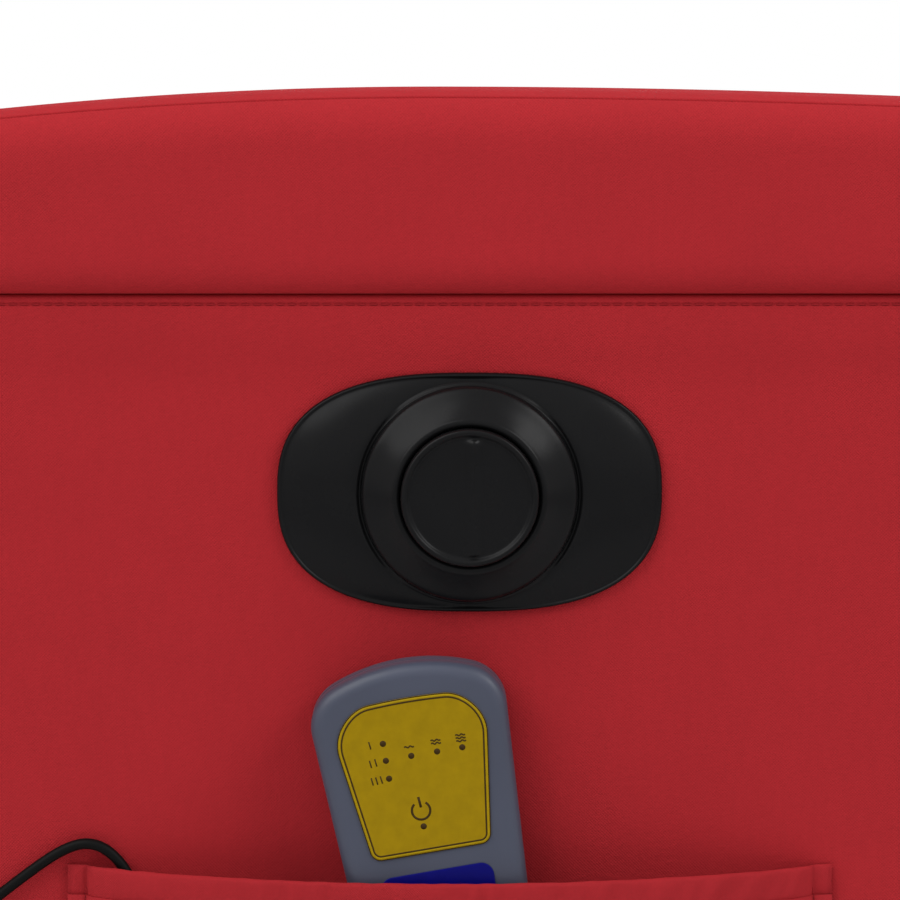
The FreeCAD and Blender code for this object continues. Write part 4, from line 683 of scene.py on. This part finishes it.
def pocket_depth(t, z):
    """How far the pocket's outside stands from the cover, at a share t of its width."""
    levels = [(190.0, 1.4), (194.0, 5.0), (202.0, 9.5), (235.0, 20.4), (300.0, 21.2), (390.0, BULGE)]
    swell = levels[0][1]
    for (z0, b0), (z1, b1) in zip(levels, levels[1:]):
        if z >= z0:
            swell = b0 + (b1 - b0) * min(1.0, (z - z0) / (z1 - z0))
    flat = END_SQUARE / POCKET_WIDE
    u = min(1.0, max(0.0, (t - flat) / (1 - 2 * flat)))
    return 1.6 + (swell - 1.6) * math.sin(math.pi * u) ** 0.7 if 0 < u < 1 else 1.6


def gathers(y, z, strength):
    """The puckers that the elastic draws in the cloth, slanting near the front end."""
    slant = 0.55 * max(0.0, min(1.0, (-130.0 - y) / 30.0)) * max(0.0, min(1.0, (y + 198.0) / 12.0))
    s = y + slant * (z - 368.0)
    fine = noise.noise(Vector((s / 4.2, z / 60.0, 1.7)))
    broad = noise.noise(Vector((s / 9.5, z / 80.0, 6.3)))
    return strength * (0.65 * fine + 0.75 * broad)


def pocket_stations(count):
    """Shares of the pocket's width, closer at the sewn ends."""
    near = END_SQUARE / POCKET_WIDE
    ends = [near * k / 8 for k in range(8)]
    middle = [near + (1 - 2 * near) * k / count for k in range(count + 1)]
    return ends + middle + [1 - e for e in reversed(ends)]


def pocket_cloth():
    """The pocket's front, bulging from the cover, its folds growing to the hem."""
    heights = [0.0, 0.008, 0.02, 0.035, 0.06, 0.09] + [0.13 + 0.87 * k / 30 for k in range(31)]
    stations = pocket_stations(150)
    verts, faces = [], []
    for h in heights:
        for t in stations:
            y = POCKET_REAR - t * POCKET_WIDE
            high = mouth_height(y) - HEM_TALL + 1.0
            z = POCKET_LOW + (high - POCKET_LOW) * h
            free = min(1.0, t / 0.06, (1 - t) / 0.06)
            fold = gathers(y, z, 1.5 * free * (h**2.2)) + 0.9 * free * wave(y * 1.6, 0, z * 0.5, 42, 2.0)
            fold *= min(1.0, h / 0.1)
            edge = 0.55 * dent(min(t, 1 - t) * POCKET_WIDE - END_SQUARE, 0.5)
            x = FACE - pocket_depth(t, z) - fold + edge
            verts.append(Vector((x, y, z)) * MM)
    columns = len(stations)
    for i in range(len(heights) - 1):
        for j in range(columns - 1):
            a = i * columns + j
            faces.append((a, a + 1, a + columns + 1, a + columns))
    cloth = piece("pocket_cloth", verts, faces, "hem_red", "base", ("remote_pocket",))
    wall = cloth.modifiers.new("cloth", "SOLIDIFY")
    wall.thickness = 1.2 * MM
    wall.offset = 1.0
    return cloth


def hem():
    """A folded tube of cloth with elastic in it, drawn into small gathers, sewn flat at its two ends."""
    stations = pocket_stations(320)
    section = [(0.0, 0.0), (0.7, 0.02), (0.95, 0.12), (1.0, 0.3), (1.0, 0.5), (1.0, 0.7), (0.95, 0.88),
               (0.7, 0.98), (0.0, 1.0), (-0.7, 0.97), (-1.0, 0.8), (-1.0, 0.5), (-1.0, 0.2), (-0.7, 0.03)]
    rings = []
    for t in stations:
        y = POCKET_REAR - t * POCKET_WIDE
        distance = min(t, 1 - t) * POCKET_WIDE
        free = max(0.0, min(1.0, (distance - END_SQUARE) / 3.0))
        stitched = dent(distance - END_SQUARE, 0.45) + dent(distance - 0.6, 0.35)
        ring = []
        for across, up in section:
            z = mouth_height(y) - HEM_TALL * (1 - up)
            z += 0.25 * free * wave(y, 0, up * 8, 5.0, 4.0) * (1 if up > 0.5 else -1)
            half = 0.55 + 0.75 * free
            pull = gathers(y, z, 1.7 * free) * (0.35 + 0.65 * math.sin(math.pi * up))
            puff = half * across + (pull if across > 0 else -0.3 * pull)
            middle = pocket_depth(t, z) + (0.6 if free else 0.2)
            x = FACE - max(0.15, middle - 0.7 + puff - 0.65 * stitched * max(0.0, across))
            ring.append(Vector((x, y, z)) * MM)
        rings.append(ring)
    return piece("pocket_hem_cloth", *skin(rings), "hem_red", "base", ("pocket_hem",))


def pocket():
    """The gathered cloth with its hem and the stitches down its two sides."""
    cloth = pocket_cloth()
    band = hem()
    for t, word in ((END_SQUARE / POCKET_WIDE, "rear"), (1 - END_SQUARE / POCKET_WIDE, "front")):
        y = POCKET_REAR - t * POCKET_WIDE
        line = [Vector((FACE - 1.75, y, POCKET_LOW + 4 + k * 5.0)) for k in range(36)]
        stitches(f"pocket_stitch_{word}", line, "base", closed=False)


pocket()


# Release handle: the plate with its collar, and the knob

PLATE = (60.0, 37.5)
PLATE_POWER = 2.6


def on_cover(x, y, z):
    """A point of the release handle: x to the chair's front, y up, z out of the arm's cover."""
    return Vector((FACE - z, HANDLE_Y - x, HANDLE_Z + y)) * MM


def plate_edge(angle):
    """How far the plate's oval edge is from its middle, in one direction."""
    c, s = abs(math.cos(angle)) / PLATE[0], abs(math.sin(angle)) / PLATE[1]
    return (c**PLATE_POWER + s**PLATE_POWER) ** (-1 / PLATE_POWER)


def turned(profile, count, place):
    """Rings about the local Z through a profile of (radius, height)."""
    angles = [2 * math.pi * k / count for k in range(count)]
    return [[place(r * math.cos(a), r * math.sin(a), h) for a in angles] for r, h in profile]


def escutcheon():
    """A domed oval plate, a groove, and a conical collar round the knob's hole."""
    count = 288
    angles = [2 * math.pi * k / count for k in range(count)]
    collar = [(21.55, -3.0), (21.55, 12.9), (21.9, 13.8), (22.4, 14.2), (23.2, 14.2), (23.9, 14.0)]
    collar.append((24.2, 13.7))
    for k in range(1, 10):
        collar.append((24.2 + 8.0 * k / 9, 13.7 - 5.4 * k / 9 - 0.3 * math.sin(math.pi * k / 9)))
    collar += [(32.7, 7.95), (33.15, 7.5), (33.45, 6.9), (33.6, 6.2), (33.75, 5.6), (34.1, 5.3), (34.6, 5.3)]
    rings = turned(collar, count, on_cover)
    start, rim = 35.0, 1.9
    for share in (0, 0.02, 0.05, 0.1, 0.16, 0.24, 0.34, 0.46, 0.58, 0.7, 0.8, 0.88, 0.94, 1.0):
        ring = []
        for a in angles:
            edge = plate_edge(a)
            r = start + (edge - rim - start) * share
            height = 2.3 + 5.4 * (1 - math.exp(-(edge - rim - r) / 10.5))
            height -= 0.5 * math.exp(-(r - start) / 1.4)
            ring.append(on_cover(r * math.cos(a), r * math.sin(a), height))
        rings.append(ring)
    lip = [(1.6, 2.2), (1.35, 2.25), (1.1, 2.5), (0.8, 2.6), (0.45, 2.4), (0.15, 2.0), (0.0, 1.4), (0.0, 0.0)]
    for inside, height in lip + [(2.2, 0.0), (2.4, 1.2)]:
        ring = []
        for a in angles:
            r = plate_edge(a) - inside
            ring.append(on_cover(r * math.cos(a), r * math.sin(a), height))
        rings.append(ring)
    piece("release_escutcheon_plate", *skin(rings, False, False), "black", "base", ("release_escutcheon",),
          "black_plastic")


def knob():
    """A disc sunk a little in its rim, with a soft finger ridge across it."""
    count = 200
    angles = [2 * math.pi * k / count for k in range(count)]
    top, face = 17.4, 16.3
    rim = [(21.35, -4.0), (21.35, top - 1.4), (21.25, top - 0.8), (21.0, top - 0.3), (20.6, top), (20.0, top),
           (19.7, top - 0.08), (19.4, top - 0.35), (18.9, face + 0.2), (18.7, face + 0.05), (18.5, face)]
    rings = turned(rim, count, on_cover)
    crest, left, right, rise = 1.3, 3.2, 2.6, 1.5
    for r in [18.0 - 0.55 * k for k in range(33)]:
        ring = []
        for a in angles:
            x, y = r * math.cos(a), r * math.sin(a)
            off = (x - crest) / (right if x > crest else left)
            ends = max(0.0, min(1.0, (18.4 - math.hypot(x, y)) / 1.6))
            ridge = rise * max(0.0, 1 - abs(off)) ** 1.15 * ends * (2 - ends)
            ring.append(on_cover(x, y, face + ridge))
        rings.append(ring)
    piece("release_knob_disc", *skin(rings), "knob", "knob", ("release_knob",), "black_plastic")


escutcheon()
knob()


# Remote

REMOTE_TILT = math.radians(9.8)
REMOTE_AT = Vector((-380.8, -76.4, 383.2))
THICK, SPLIT = 17.0, 8.0


def on_remote(x, y, z):
    """A point of the remote: x to the chair's front, y up the remote, z out of the chair."""
    c, s = math.cos(REMOTE_TILT), math.sin(REMOTE_TILT)
    return (REMOTE_AT + Vector((-z, -x * c + y * s, x * s + y * c))) * MM


def remote_outline(inset):
    """Tapered sides, round shoulders and a shallow arched top, counter-clockwise."""
    head, foot, top, low = 30.7 - inset, 22.2 - inset, 59.4 - inset, inset - 116.0
    shoulder, turn, corner = 14.0 - inset, 70.0, 7.0 - inset * 0.6
    centre = (head - shoulder, top - 4.04 - shoulder * math.sin(math.radians(turn)))
    right = arc((foot - corner, low + corner), corner, -90, 0, 8)
    side = []
    for k in range(1, 24):
        side.append((foot + (head - foot) * k / 24, low + corner + (centre[1] - low - corner) * k / 24))
    right += side + arc(centre, shoulder, 0, turn, 16)
    end = right[-1]
    middle = (end[0] ** 2 + end[1] ** 2 - top**2) / (2 * (end[1] - top))
    radius = top - middle
    spread = math.degrees(math.asin(end[0] / radius))
    right += arc((0.0, middle), radius, 90 - spread, 90, 12)[1:]
    left = [(-x, y) for x, y in reversed(right[:-1])]
    return right + left


def film_outline(half_low, half_high, low, high, corner_low, corner_high, arch, inset=0.0):
    """A four-sided film with round corners and an arched top."""
    lean = math.atan2(half_high - half_low, high - low)
    tilt = math.degrees(lean)
    slope = math.tan(lean)
    low, high = low + inset, high - inset
    half = half_low - inset / math.cos(lean) + slope * inset
    r_low, r_high = max(0.3, corner_low - inset), max(0.3, corner_high - inset)

    def corner(height, radius, sign):
        """The centre of a corner's circle, tangent to the slanting side and the level edge."""
        y = height + sign * radius
        return (half + slope * (y - low) - radius / math.cos(lean), y)

    right = arc(corner(low, r_low, 1), r_low, -90, -tilt, 8)
    right += arc(corner(high, r_high, -1), r_high, -tilt, 90, 14)
    right += [(right[-1][0] * (1 - k / 8), high) for k in range(1, 9)]
    rise = []
    for x, y in right:
        near_top = max(0.0, min(1.0, (y - high + 12) / 12))
        rise.append((x, y + arch * (1 - (x / half_high) ** 2) * near_top**2))
    return rise + [(-x, y) for x, y in reversed(rise[:-1])]


def remote_rings(outline, rows):
    """Rings of the remote from an outline and rows of (inset, height)."""
    return [[on_remote(x, y, height) for x, y in outline(inset)] for inset, height in rows]


def shells():
    """The remote's front and rear housing, each with rounded edges, meeting in a thin gap."""
    front = [(0.35, SPLIT - 0.2), (0.3, SPLIT), (0.05, SPLIT + 0.35), (0.0, SPLIT + 0.8), (0.0, 11.0)]
    front += [(0.0, 13.0)]
    front += [(4 - x, 13 + y) for x, y in arc((0.0, 0.0), 4, 9, 90, 9)]
    front += [(4.4, THICK), (5.2, THICK)]
    faces = skin(remote_rings(remote_outline, front))
    piece("remote_front", *faces, "grey", "remote", ("remote_front_shell",), "grey_plastic")
    rear = [(4.2, 0.0), (3.0, 0.0), (2.0, 0.15), (1.0, 0.7), (0.3, 1.7), (0.0, 3.0), (0.0, 5.0),
            (0.0, SPLIT - 0.9), (0.05, SPLIT - 0.45), (0.3, SPLIT - 0.1), (1.2, SPLIT - 0.1)]
    faces = skin(remote_rings(remote_outline, rear))
    piece("remote_rear", *faces, "grey", "remote", ("remote_rear_shell",), "grey_plastic")


def film_piece(name, sizes, material, slot, stands_for):
    """A printed film with a soft edge, lying on the front shell."""
    top = THICK + 0.5
    rows = [(0.0, THICK - 0.1), (0.0, top - 0.15), (0.05, top - 0.04), (0.18, top), (0.6, top)]
    rings = remote_rings(lambda inset: film_outline(*sizes, inset), rows)
    piece(name, *skin(rings), material, "remote", stands_for, slot)


class Marks:
    """Thin printed marks, gathered in one mesh."""

    def __init__(self, height=THICK + 0.53, deep=0.05):
        self.verts, self.faces, self.height, self.deep = [], [], height, deep

    def add(self, verts, faces):
        first = len(self.verts)
        self.verts += verts
        self.faces += [tuple(first + i for i in face) for face in faces]

    def ribbon(self, points, width):
        """A stroke along points, with square ends."""
        left, right = [], []
        for k, p in enumerate(points):
            a, b = points[max(0, k - 1)], points[min(len(points) - 1, k + 1)]
            across = Vector((a[1] - b[1], b[0] - a[0])).normalized() * width / 2
            left.append((p[0] + across.x, p[1] + across.y))
            right.append((p[0] - across.x, p[1] - across.y))
        outline = left + right[::-1]
        low = [on_remote(x, y, self.height - self.deep) for x, y in outline]
        high = [on_remote(x, y, self.height) for x, y in outline]
        count, n = len(outline), len(points)
        faces = [(i, (i + 1) % count, count + (i + 1) % count, count + i) for i in range(count)]
        for base, flip in ((0, -1), (count, 1)):
            for k in range(n - 1):
                faces.append((base + k, base + k + 1, base + count - 2 - k, base + count - 1 - k)[::flip])
        self.add(low + high, faces)

    def disc(self, x, y, radius):
        ring = arc((x, y), radius, 0, 360 - 15, 23)
        rings = [[on_remote(u, v, self.height - self.deep) for u, v in ring],
                 [on_remote(u, v, self.height) for u, v in ring]]
        self.add(*skin(rings))


def band(outer, inner, height, deep=0.05):
    """A closed flat band of the upper film, between two insets."""
    rows = [(outer, height - deep), (outer, height), (inner, height), (inner, height - deep)]
    rings = remote_rings(lambda inset: film_outline(*UPPER_FILM, inset), rows)
    return skin(rings, closed_rows=True)


UPPER_FILM = (18.6, 25.2, 0.0, 47.4, 3.5, 11.5, 1.9)
LOWER_FILM = (16.4, 17.9, -58.0, -5.8, 4.0, 4.0, 0.0)
DOTS = [(-9.2, 36.3), (-9.2, 30.9), (-9.2, 25.2), (-1.2, 31.1), (6.9, 31.1), (14.8, 31.1), (-1.2, 8.6)]
STROKES = [(-13.3, 36.4), (-14.1, 30.6), (-12.4, 30.8), (-14.5, 25.1), (-13.1, 25.1), (-11.6, 25.2)]
WAVES = [(-1.4, 34.0, 1), (7.0, 34.2, 2), (14.8, 34.1, 3)]


def keypad():
    """The two films with their printed outlines, a painted shadow along the upper film's outer edge, dots,
    strokes, waves, the power sign and rings for keys.
    """
    film_piece("remote_film_upper", UPPER_FILM, "yellow", "yellow_film", ("remote_upper_overlay",))
    film_piece("remote_film_lower", LOWER_FILM, "blue", "blue_film", ("remote_lower_overlay",))
    edge = band(0.35, 1.15, THICK + 0.51, 0.03)
    piece("remote_film_edge", *edge, "yellow_edge", "remote", (), "yellow_film")
    marks = Marks()
    marks.add(*band(1.1, 1.6, THICK + 0.53))
    # Painted shadow: a dark band in the print colour along the upper film's outer edge, where the film meets
    # the shell
    marks.add(*band(0.0, 0.3, THICK + 0.5))
    for x, y in DOTS:
        marks.disc(x, y, 0.97)
    for x, y in STROKES:
        marks.ribbon([(x - 0.15, y + 1.2), (x + 0.15, y - 1.2)], 0.42)
    for x, y, rows in WAVES:
        for row in range(rows):
            level = y + (row - (rows - 1) / 2) * 0.95
            steps = [k / 12 for k in range(13)]
            line = [(x - 1.5 + 3.0 * t, level + 0.24 * math.sin(4 * math.pi * t)) for t in steps]
            marks.ribbon(line, 0.46)
    marks.ribbon(arc((-1.15, 13.65), 2.85, 128, 128 + 284, 40), 0.7)
    marks.ribbon([(-1.3, 18.0), (-1.0, 14.6)], 0.75)
    piece("remote_print_and_painted_shade", marks.verts, marks.faces, "print", "remote", (), "yellow_film")
    pale = Marks()
    for x, y in ((-9.5, -24.0), (9.5, -24.0), (0.0, -48.0)):
        pale.ribbon(arc((x, y), 5.4, 0, 360, 40), 0.5)
    piece("remote_key_rings", pale.verts, pale.faces, "blue_print", "remote", (), "blue_film")


shells()
keypad()


# Cushions: foam in sewn covers, swollen by a short cloth simulation, then creased and piped

SWELL_FRAMES = 18
PRESSURE = 4.0
VOXEL = 7.0
BACK_LEAN = 16.0
BACK_PIVOT = (0, 212, 330)
WELTS = (("front", 0.80), ("rear", 0.16))


def block_rings(half_x, half_y, half_z, corner, crown):
    """A crowned block about the origin, thick along z, with its sides drawn in between the corners."""
    rings = []
    rows = [(0.62, 1.0), (0.3, 0.97), (0.1, 0.86), (0.02, 0.66), (0.0, 0.4), (0.01, 0.0)]
    rows += [(inset, -share) for inset, share in rows[-2::-1]]
    for inset, share in rows:
        ring = []
        for x, y in rounded_ring(half_x - inset * crown * 2, half_y - inset * crown * 2, corner, 26, 26, 6):
            pull = crown * 0.18 * (math.cos(math.pi / 2 * x / half_x) * abs(y) / half_y +
                                   math.cos(math.pi / 2 * y / half_y) * abs(x) / half_x)
            radius = math.hypot(x, y) or 1.0
            ring.append(Vector((x * (1 - pull / radius), y * (1 - pull / radius), half_z * share)))
        rings.append(ring)
    return rings


def cushion_start(name, low, high, place, shrink, corner, crown):
    """A slightly smaller start for a cushion that fills its box, remeshed in even squares."""
    half = (high - low) / 2 - Vector((shrink, shrink, shrink))
    middle = (high + low) / 2
    rings = [[place @ (p + middle) * MM for p in ring] for ring in block_rings(*half, corner, crown)]
    obj = piece(name, *skin(rings), "seat_red", "base")
    obj.parent = None  # it rides on its body again once it has its shape
    bpy.context.view_layer.objects.active = obj
    obj.data.remesh_voxel_size = VOXEL * MM
    bpy.ops.object.voxel_remesh()
    return obj


def swell(cushions):
    """Blows up all the cushions at once under the cloth solver and gives the points of each."""
    scene = bpy.context.scene
    for obj in cushions:
        cloth = obj.modifiers.new("cloth", "CLOTH")
        cloth.settings.use_pressure = True
        cloth.settings.uniform_pressure_force = PRESSURE
        cloth.settings.effector_weights.gravity = 0.0
        cloth.settings.quality = 4
        cloth.settings.tension_stiffness = 12
        cloth.settings.compression_stiffness = 12
        cloth.collision_settings.use_collision = False
        cloth.point_cache.frame_start = 1
        cloth.point_cache.frame_end = SWELL_FRAMES
    for frame_number in range(1, SWELL_FRAMES + 1):
        scene.frame_set(frame_number)
    swollen = []
    for obj in cushions:
        shaped = obj.evaluated_get(bpy.context.evaluated_depsgraph_get()).to_mesh()
        swollen.append([v.co.copy() for v in shaped.vertices])
    for obj in cushions:
        obj.modifiers.clear()
    scene.frame_set(1)
    return swollen


def settle(obj, points, place, low, high, cap, shape):
    """Caps how far points moved, then shapes channels in the cushion's own frame, within its box."""
    inverse = place.inverted()
    normals = [inverse.to_3x3() @ v.normal for v in obj.data.vertices]
    for vertex, point, normal in zip(obj.data.vertices, points, normals):
        moved = point - vertex.co
        if moved.length > cap * MM:
            moved *= cap * MM / moved.length
        local = inverse @ ((vertex.co + moved) / MM)
        local += normal * shape(local, normal)
        for k in range(3):
            local[k] = min(high[k], max(low[k], local[k]))
        vertex.co = place @ local * MM


def seam_line(obj, place, guide, name, body, radius=2.0, lift=0.4):
    """A welt sewn in the cushion's skin along a guide line."""
    tree = BVHTree.FromObject(obj, bpy.context.evaluated_depsgraph_get())
    points = []
    for p in guide:
        spot, normal, _, _ = tree.find_nearest(place @ p * MM)
        points.append(spot + normal * lift * MM)
    count = len(points)
    smooth = [(points[k - 1] + points[k] * 2 + points[(k + 1) % count]) / 4 for k in range(count)]
    return curve_piece(name, smooth, radius * MM, "seat_red", body, order=4, cyclic=True)


def box_guide(low, high, inset, z, corner):
    """A closed line round a cushion's box at one depth."""
    half_x, half_y = (high[0] - low[0]) / 2 - inset, (high[1] - low[1]) / 2 - inset
    cx, cy = (high[0] + low[0]) / 2, (high[1] + low[1]) / 2
    return [Vector((x + cx, y + cy, z)) for x, y in rounded_ring(half_x, half_y, corner, 14, 14, 6)]


def back_place():
    """The back's frame: x across, y up the back, z to the sitter."""
    lean = math.radians(BACK_LEAN)
    across, up = Vector((1, 0, 0)), Vector((0, math.sin(lean), math.cos(lean)))
    turn = Matrix((across, up, across.cross(up))).transposed().to_4x4()
    return Matrix.Translation(Vector(BACK_PIVOT)) @ turn


LEVEL = Matrix.Identity(4)
UPRIGHT = Matrix(((1, 0, 0, 0), (0, 0, -1, 0), (0, 1, 0, 0), (0, 0, 0, 1)))
BACK = back_place()


def seat_shape(p, normal):
    """Two sewn channels across the seat, a dip where one sits, and small puckers."""
    up = max(0.0, normal.z)
    groove = sum(dent(p.y - at, 7.0) for at in (-262.0, -92.0))
    sag = 5.0 * dent(p.x, 170.0) * dent(p.y + 150, 130.0)
    pucker = 1.2 * wave(p.x, p.y, p.z, 34, 1.0) + 1.6 * wave(p.x, p.y * 0.5, p.z, 90, 5.0)
    return -up * (8.0 * groove + sag) + pucker


def back_shape(middle, tall, channel):
    """A back cushion: puckers that run in from its seams, and a sewn channel across it."""
    def shape(p, normal):
        front = max(0.0, normal.z)
        share = abs(p.y - middle) / (tall / 2)
        seam = 6.5 * dent(p.y - channel, 6.5) if channel else 0.0
        fans = 1.8 * share**3 * noise.noise(Vector((p.x / 17.0, p.y / 90.0, 3.0)))
        pucker = 1.3 * wave(p.x, p.y, p.z, 40, 2.0) + 2.2 * wave(p.x, p.y, p.z, 110, 7.0)
        return -front * seam + front * fans + pucker
    return shape


def pad_shape(p, normal):
    """The footrest pad: two sewn channels across it and small puckers."""
    front = max(0.0, normal.z)
    groove = sum(dent(p.y - at, 5.0) for at in (160.7, 249.3))
    return -front * 5.0 * groove + 0.9 * wave(p.x, p.y, p.z, 36, 4.0)


def box(half_wide, y0, y1, z0, z1):
    """The two corners of a box in a cushion's own frame."""
    return Vector((-half_wide, y0, z0)), Vector((half_wide, y1, z1))


# In each row: name, node, body, place, box, shrink, corner, crown, cap, shape, fill
CUSHIONS = [
    ("seat_cushion_cover", "seat_cushion", "base", LEVEL, box(265.5, -413.5, 90.5, 370.4, 488.0),
     10, 30, 14, 24, seat_shape, 0.8),
    ("lumbar_cushion_cover", "lumbar_cushion", "back", BACK, box(257.6, 82.4, 308.6, 9.3, 141.0),
     6, 30, 15, 24, back_shape(195, 226, 0), 0.7),
    ("middle_cushion_cover", "middle_cushion", "back", BACK, box(257.6, 308.6, 489.4, 9.3, 133.0),
     6, 28, 14, 24, back_shape(399, 180, 0), 0.7),
    ("head_cushion_cover", "head_cushion", "back", BACK, box(257.6, 489.6, 701.6, 9.3, 141.0),
     6, 32, 15, 24, back_shape(596, 212, 610), 0.7),
    ("footrest_pad_cover", "footrest_pad", "footrest", UPRIGHT, box(263.5, 72.4, 337.6, 371.2, 425.0),
     7, 18, 10, 12, pad_shape, 0.9),
]


def cushions():
    """All five cushions, with their welts."""
    starts = [cushion_start(name, *limits, place, shrink, corner, crown)
              for name, _, _, place, limits, shrink, corner, crown, _, _, _ in CUSHIONS]
    swollen = swell(starts)
    for obj, points, row in zip(starts, swollen, CUSHIONS):
        name, node_name, body, place, (low, high), _, corner, _, cap, shape, fill = row
        settle(obj, points, place, low, high, cap, shape)
        dress(obj, "seat_red", body, (node_name,), subdivide=1)
        thick = high.z - low.z
        for word, share in WELTS:
            guide = box_guide(low, high, 1.0, low.z + thick * share, corner)
            seam_line(obj, place, guide, f"{name}_welt_{word}", body)


cushions()


def rear_cover():
    """A padded panel behind the back frame: a sewn edge, a turned hem and soft puffing."""
    half_x, half_y, thick, middle = 256.0, 304.0, 14.0, 384.0
    rows = [(1.5, 0.0), (0.3, 0.4), (0.0, 1.6), (0.0, 4.5), (0.5, 6.8), (1.8, 8.6), (4.0, 9.7), (8.0, 10.3)]
    rows += [(10.5, 10.2), (11.3, 9.4), (12.0, 9.1), (12.7, 9.4), (13.5, 10.4), (18.0, 11.6), (26.0, 12.6)]
    rows += [(40.0 + 24.0 * k, min(thick - 0.2, 13.0 + 0.12 * k)) for k in range(9)]
    rows.append((252.0, thick - 0.1))
    rings = []
    for inset, out in rows:
        ring = []
        for x, y in rounded_ring(half_x - inset, half_y - inset, max(2.0, 16 - inset * 0.5), 24, 30, 6):
            soft = 0.9 * wave(x, y, 0, 60, 8.0) * min(1.0, inset / 30.0)
            ring.append(BACK @ Vector((x, y + middle, -9.0 - out + min(0.0, soft))) * MM)
        rings.append(ring)
    cover = piece("back_rear_cover_cloth", *skin(rings), "seat_red", "back", ("back_rear_cover",))
    path = []
    for x, y in rounded_ring(half_x - 12.0, half_y - 12.0, 10, 24, 30, 6):
        path.append(BACK @ Vector((x, y + middle, -18.3)))
    stitches("back_rear_cover_stitch", path, "back", pitch=4.4, length=3.3, radius=0.4)


rear_cover()
